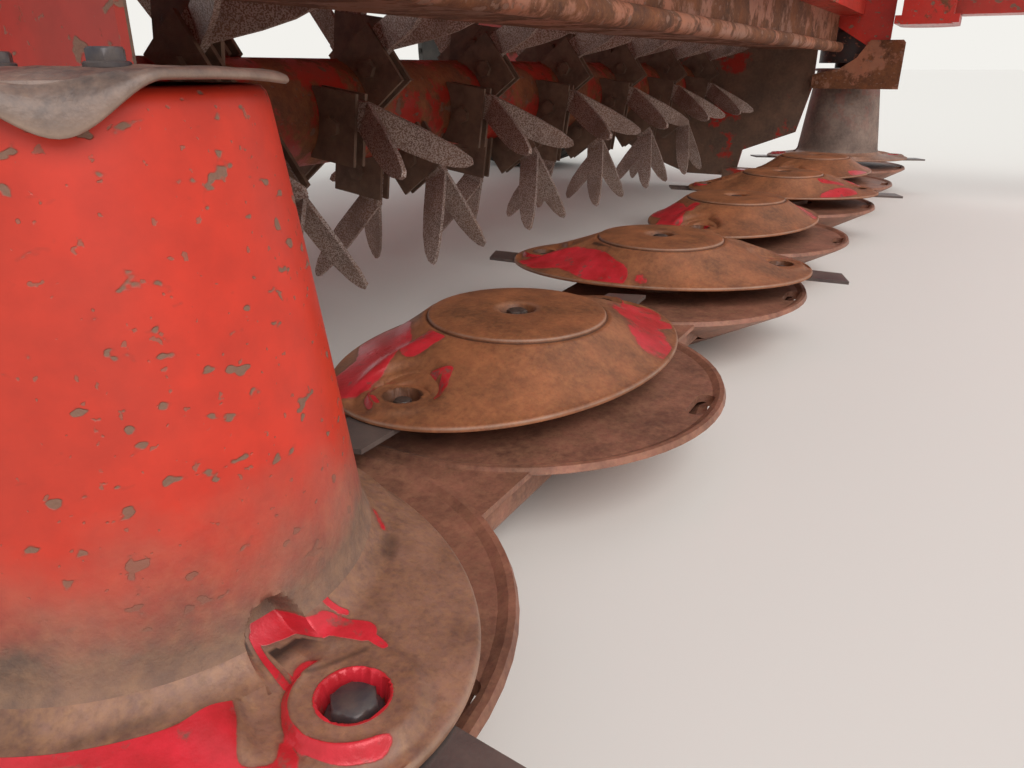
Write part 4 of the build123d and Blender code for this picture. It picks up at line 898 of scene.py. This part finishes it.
class MOWER_OT_rotors(bpy.types.Operator):
    """Makes the two drums and the five oval discs as pressed shells with knife seats"""

    bl_idname = "mower.rotors"
    bl_label = "Drums and discs"

    def execute(self, context):
        # Enamel on the spun drum: bright red with small chips, gone to brown at its foot
        cone = worn_enamel(
            "drum_enamel_rusting_at_foot", bright=context.scene.mower_colours.drum, faded="#c03a26",
            chips_at=0.665, chip_mm=9, rust_at=0.8, rust=("#685247", "#94705e", "#b08563"),
            rough=0.4, foot=(0.110, 0.172), dust=0.1)
        # The same enamel on the far drum, painted darker as shade for a drum that stands in shadow, and
        # worn to grey-brown rust with red traces
        shaded_far_cone = worn_enamel(
            "drum_enamel_rust_and_painted_shade", bright="#a04a3c", faded="#7d564a", rust_at=0.42,
            rust=("#66564f", "#8f7a6e", "#a8917f"), rough=0.42, foot=(0.14, 0.40), dust=0.1)
        # Pressed base of a drum: greyish rust, fresh red where a relief has spared the paint
        base = rusted_pressing("rusted_drum_base", rust=("#775547", "#a87d69", "#c38f5e"),
                               paint="#ea3442", size_mm=36)
        # Pressed disc: warm orange-brown rust rubbed smooth, red on the flank that the crop spares
        pressing = rusted_pressing("rusted_disc_pressing", rust=("#754a33", "#b06c47", "#c98856"),
                                   paint="#dc3640", size_mm=45)
        # Buckled cap plate: bare grey-brown steel with a low sheen on its bends
        plate = rusted_pressing("buckled_cap_steel", rust=("#4c4340", "#927a6e", "#ab8b75"),
                                rough=0.34, size_mm=30)
        # Blackened bolt steel: dark blue-grey heads with brown wear
        bolt = plain_finish("blackened_bolt_steel", "#454248", "#6a5d55", 0.35, metallic=0.3, size_mm=8)
        # Rusted bolt steel: nearly black brown, so that a head shows in its hole
        brown_bolt = plain_finish("rusted_bolt_steel", "#3a302d", "#66544a", 0.4, metallic=0.2,
                                  size_mm=8)
        for name, (turn, side, *_) in ROTORS.items():
            centre = (ROTOR_X[name], ROW_Y)
            lead = math.degrees(side * SEAT_LEAD / SEAT_REACH)
            bearings = (turn + lead, turn + 180 + lead)
            if name.startswith("drum"):
                near = name == "drum_right"
                theta = crowded_angles(NEAR_DRUM_COLUMNS if near else DISC_COLUMNS)
                bolts = [(SEAT_REACH, bearing, *DRUM_BOLT) for bearing in bearings]
                finishes = (cone if near else shaded_far_cone, base, bolt)
                rings = drum_rings(name, theta)
            else:
                theta = crowded_angles(DISC_COLUMNS)
                bolts = [(0.0, turn, *HUB_BOLT)]
                bolts += [(SEAT_REACH, bearing, *DISC_BOLT) for bearing in bearings]
                finishes = (pressing, brown_bolt)
                rings = disc_rings(name, theta)
            piece = polar_shell(f"{name}_shell", centre, turn, theta, rings, finishes, name, bolts)
            if base in finishes:
                heights = [vertex.co.z for vertex in piece.data.vertices]
                for face in piece.data.polygons:
                    level = sum(heights[i] for i in face.vertices) / len(face.vertices)
                    if face.material_index == 0 and level < PAINT_ENDS_Z:
                        face.material_index = 1
            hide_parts(name)
        around = np.linspace(0, math.tau, CAP_COLUMNS, endpoint=False)
        bolts = [(CAP_BOLT_REACH, bearing, *CAP_BOLT) for bearing in CAP_BOLT_BEARINGS]
        cap = polar_shell("drum_cap_plate", (ROTOR_X["drum_right"], ROW_Y), 0, around,
                          cap_rings(around), (plate, bolt), "drum_right", bolts)
        return {"FINISHED"}


class MOWER_OT_fasteners(bpy.types.Operator):
    """Sets hexagon bolts on the flanges, the hood, the cover and the wheels"""

    bl_idname = "mower.fasteners"
    bl_label = "Bolts"

    def execute(self, context):
        # Zinc plate gone dull: pale grey heads with a weak shine
        zinc = plain_finish("zinc_plated_bolt", "#8f8c86", "#6f675c", 0.35, metallic=0.7, size_mm=6)
        tree = bolt_tree()
        for node, body, centre, radius, first, last, count, aim, across in BOLT_RINGS:
            centre = (centre[0], ROW_Y + centre[1], centre[2])
            places = ring_places(node, centre, radius, first, last, count, aim)
            name = f"{node}_bolts_{count}_{round(1000 * radius)}"
            piece = grown(name, tree, places, body, Across=across, Height=across / 2, Finish=zinc)
        places = []
        for k in range(HOOD_BOLTS):
            along = (k / (HOOD_BOLTS - 1) * 2 - 1) * HOOD_BOLT_REACH
            start = (along, ROW_Y + HOOD_BOLT_Y, HOOD_ABOVE)
            places += ring_places("hood", start, 0, 0, 0, 1, (0, 0, -1))
        piece = grown("hood_tail_bolts", tree, places, "root", Across=0.016, Height=0.008, Finish=zinc)
        return {"FINISHED"}


class MOWER_OT_running_gear(bpy.types.Operator):
    """Adds the tread blocks of the tyres and the coils of the relief springs"""

    bl_idname = "mower.running_gear"
    bl_label = "Tread and springs"

    def execute(self, context):
        sizes = context.scene.mower_sizes
        # Moulded tread rubber: a little blacker than the wall, because it rubs clean
        rubber = plain_finish("dusty_tread_rubber", "#262523", "#4c4740", 0.75, size_mm=60, bump_mm=0.4)
        blocks = tread_tree()
        for name in ("right", "left"):
            axle = Vector(JOINTS[f"wheel_{name}_spin"]["pos_m"])
            places = []
            for k in range(sizes.tread_blocks):
                for row in (-1, 1):
                    angle = math.tau * (k + 0.25 * row) / sizes.tread_blocks
                    around = Vector((0, math.cos(angle), math.sin(angle)))
                    place = axle + Vector((row * TREAD_X, 0, 0)) + around * TREAD_R
                    aim = around * 0.85 + Vector((row * 0.53, 0, 0))
                    places.append((tuple(place), tuple(aim)))
            piece = grown(f"tread_{name}", blocks, places, f"wheel_{name}", Finish=rubber)
        # Lacquered spring wire: black with a fine shine on every turn
        black = plain_finish("lacquered_spring_wire", "#1f1f21", "#3a3430", 0.35, metallic=0.4,
                             size_mm=20)
        foot, head = (Vector((0, ROW_Y + y, z)) for y, z in (SPRING_FOOT, SPRING_HEAD))
        along = (head - foot).normalized()
        places = [(tuple(foot + along * SPRING_HOOK + Vector((side * SPRING_X, 0, 0))), tuple(along))
                  for side in (-1, 1)]
        length = (head - foot).length - 2 * SPRING_HOOK
        coils = grown("relief_coils", coil_tree(), places, "root", Length=length, Finish=black)
        return {"FINISHED"}


class MOWER_OT_stage(bpy.types.Operator):
    """Sets the floor, the soft lights and the camera along the cutting row"""

    bl_idname = "mower.stage"
    bl_label = "Stage"

    def execute(self, context):
        sizes = context.scene.mower_sizes
        stage_floor(context.scene.mower_colours.floor)
        world = bpy.data.worlds.new("studio")
        world.use_nodes = True
        context.scene.world = world
        shade = world.node_tree.nodes["Background"]
        shade.inputs["Color"].default_value = linear("#f4f6f8")
        shade.inputs["Strength"].default_value = 0.68
        # Camera rays see a pale background, and every other ray the even studio light
        tree = world.node_tree
        seen = add_node(tree, "ShaderNodeBackground", {"Color": linear("#f3f1ec")}, 0)
        straight = add_node(tree, "ShaderNodeLightPath", out="Is Camera Ray")
        sky = add_node(tree, "ShaderNodeMixShader", {0: straight, 1: shade.outputs[0], 2: seen}, 0)
        tree.links.new(sky, tree.nodes["World Output"].inputs["Surface"])
        soft_sun("key", (-2.5, -5.0, 5.2), 45, 1.6)
        soft_sun("fill", (4.0, 3.0, 3.0), 70, 0.35)
        camera = bpy.data.cameras.new("camera")
        camera.lens = sizes.camera_lens
        camera.sensor_width = 36
        camera.clip_start = 0.01
        holder = put("camera", camera)
        level = math.cos(sizes.camera_pitch)
        look = Vector((level * math.cos(sizes.camera_yaw), level * math.sin(sizes.camera_yaw),
                       -math.sin(sizes.camera_pitch)))
        holder.location = Vector((ROTOR_X["drum_right"], ROW_Y, 0)) + Vector(sizes.camera_place)
        holder.rotation_euler = look.to_track_quat("-Z", "Y").to_euler()
        context.scene.camera = holder
        context.scene.view_settings.view_transform = "Standard"
        return {"FINISHED"}


class MOWER_PT_panel(bpy.types.Panel):
    """Lists the steps that dress the machine"""

    bl_label = "Mower"
    bl_idname = "MOWER_PT_panel"
    bl_space_type = "VIEW_3D"
    bl_region_type = "UI"
    bl_category = "Mower"

    def draw(self, context):
        for operator in STEPS:
            self.layout.operator(operator.bl_idname)


STEPS = (MOWER_OT_finishes, MOWER_OT_rotors, MOWER_OT_fasteners, MOWER_OT_running_gear, MOWER_OT_stage)
CLASSES = (MowerSizes, MowerColours, *STEPS, MOWER_PT_panel)


def register():
    """Registers the classes and hangs the settings on the scene."""
    for cls in CLASSES:
        bpy.utils.register_class(cls)
    bpy.types.Scene.mower_sizes = bpy.props.PointerProperty(type=MowerSizes)
    bpy.types.Scene.mower_colours = bpy.props.PointerProperty(type=MowerColours)


def unregister():
    """Takes the settings and the classes away."""
    del bpy.types.Scene.mower_colours
    del bpy.types.Scene.mower_sizes
    for cls in reversed(CLASSES):
        bpy.utils.unregister_class(cls)


def main():
    """Runs every step in order."""
    register()
    for operator in STEPS:
        group, name = operator.bl_idname.split(".")
        getattr(getattr(bpy.ops, group), name)()


if __name__ == "__main__":
    main()
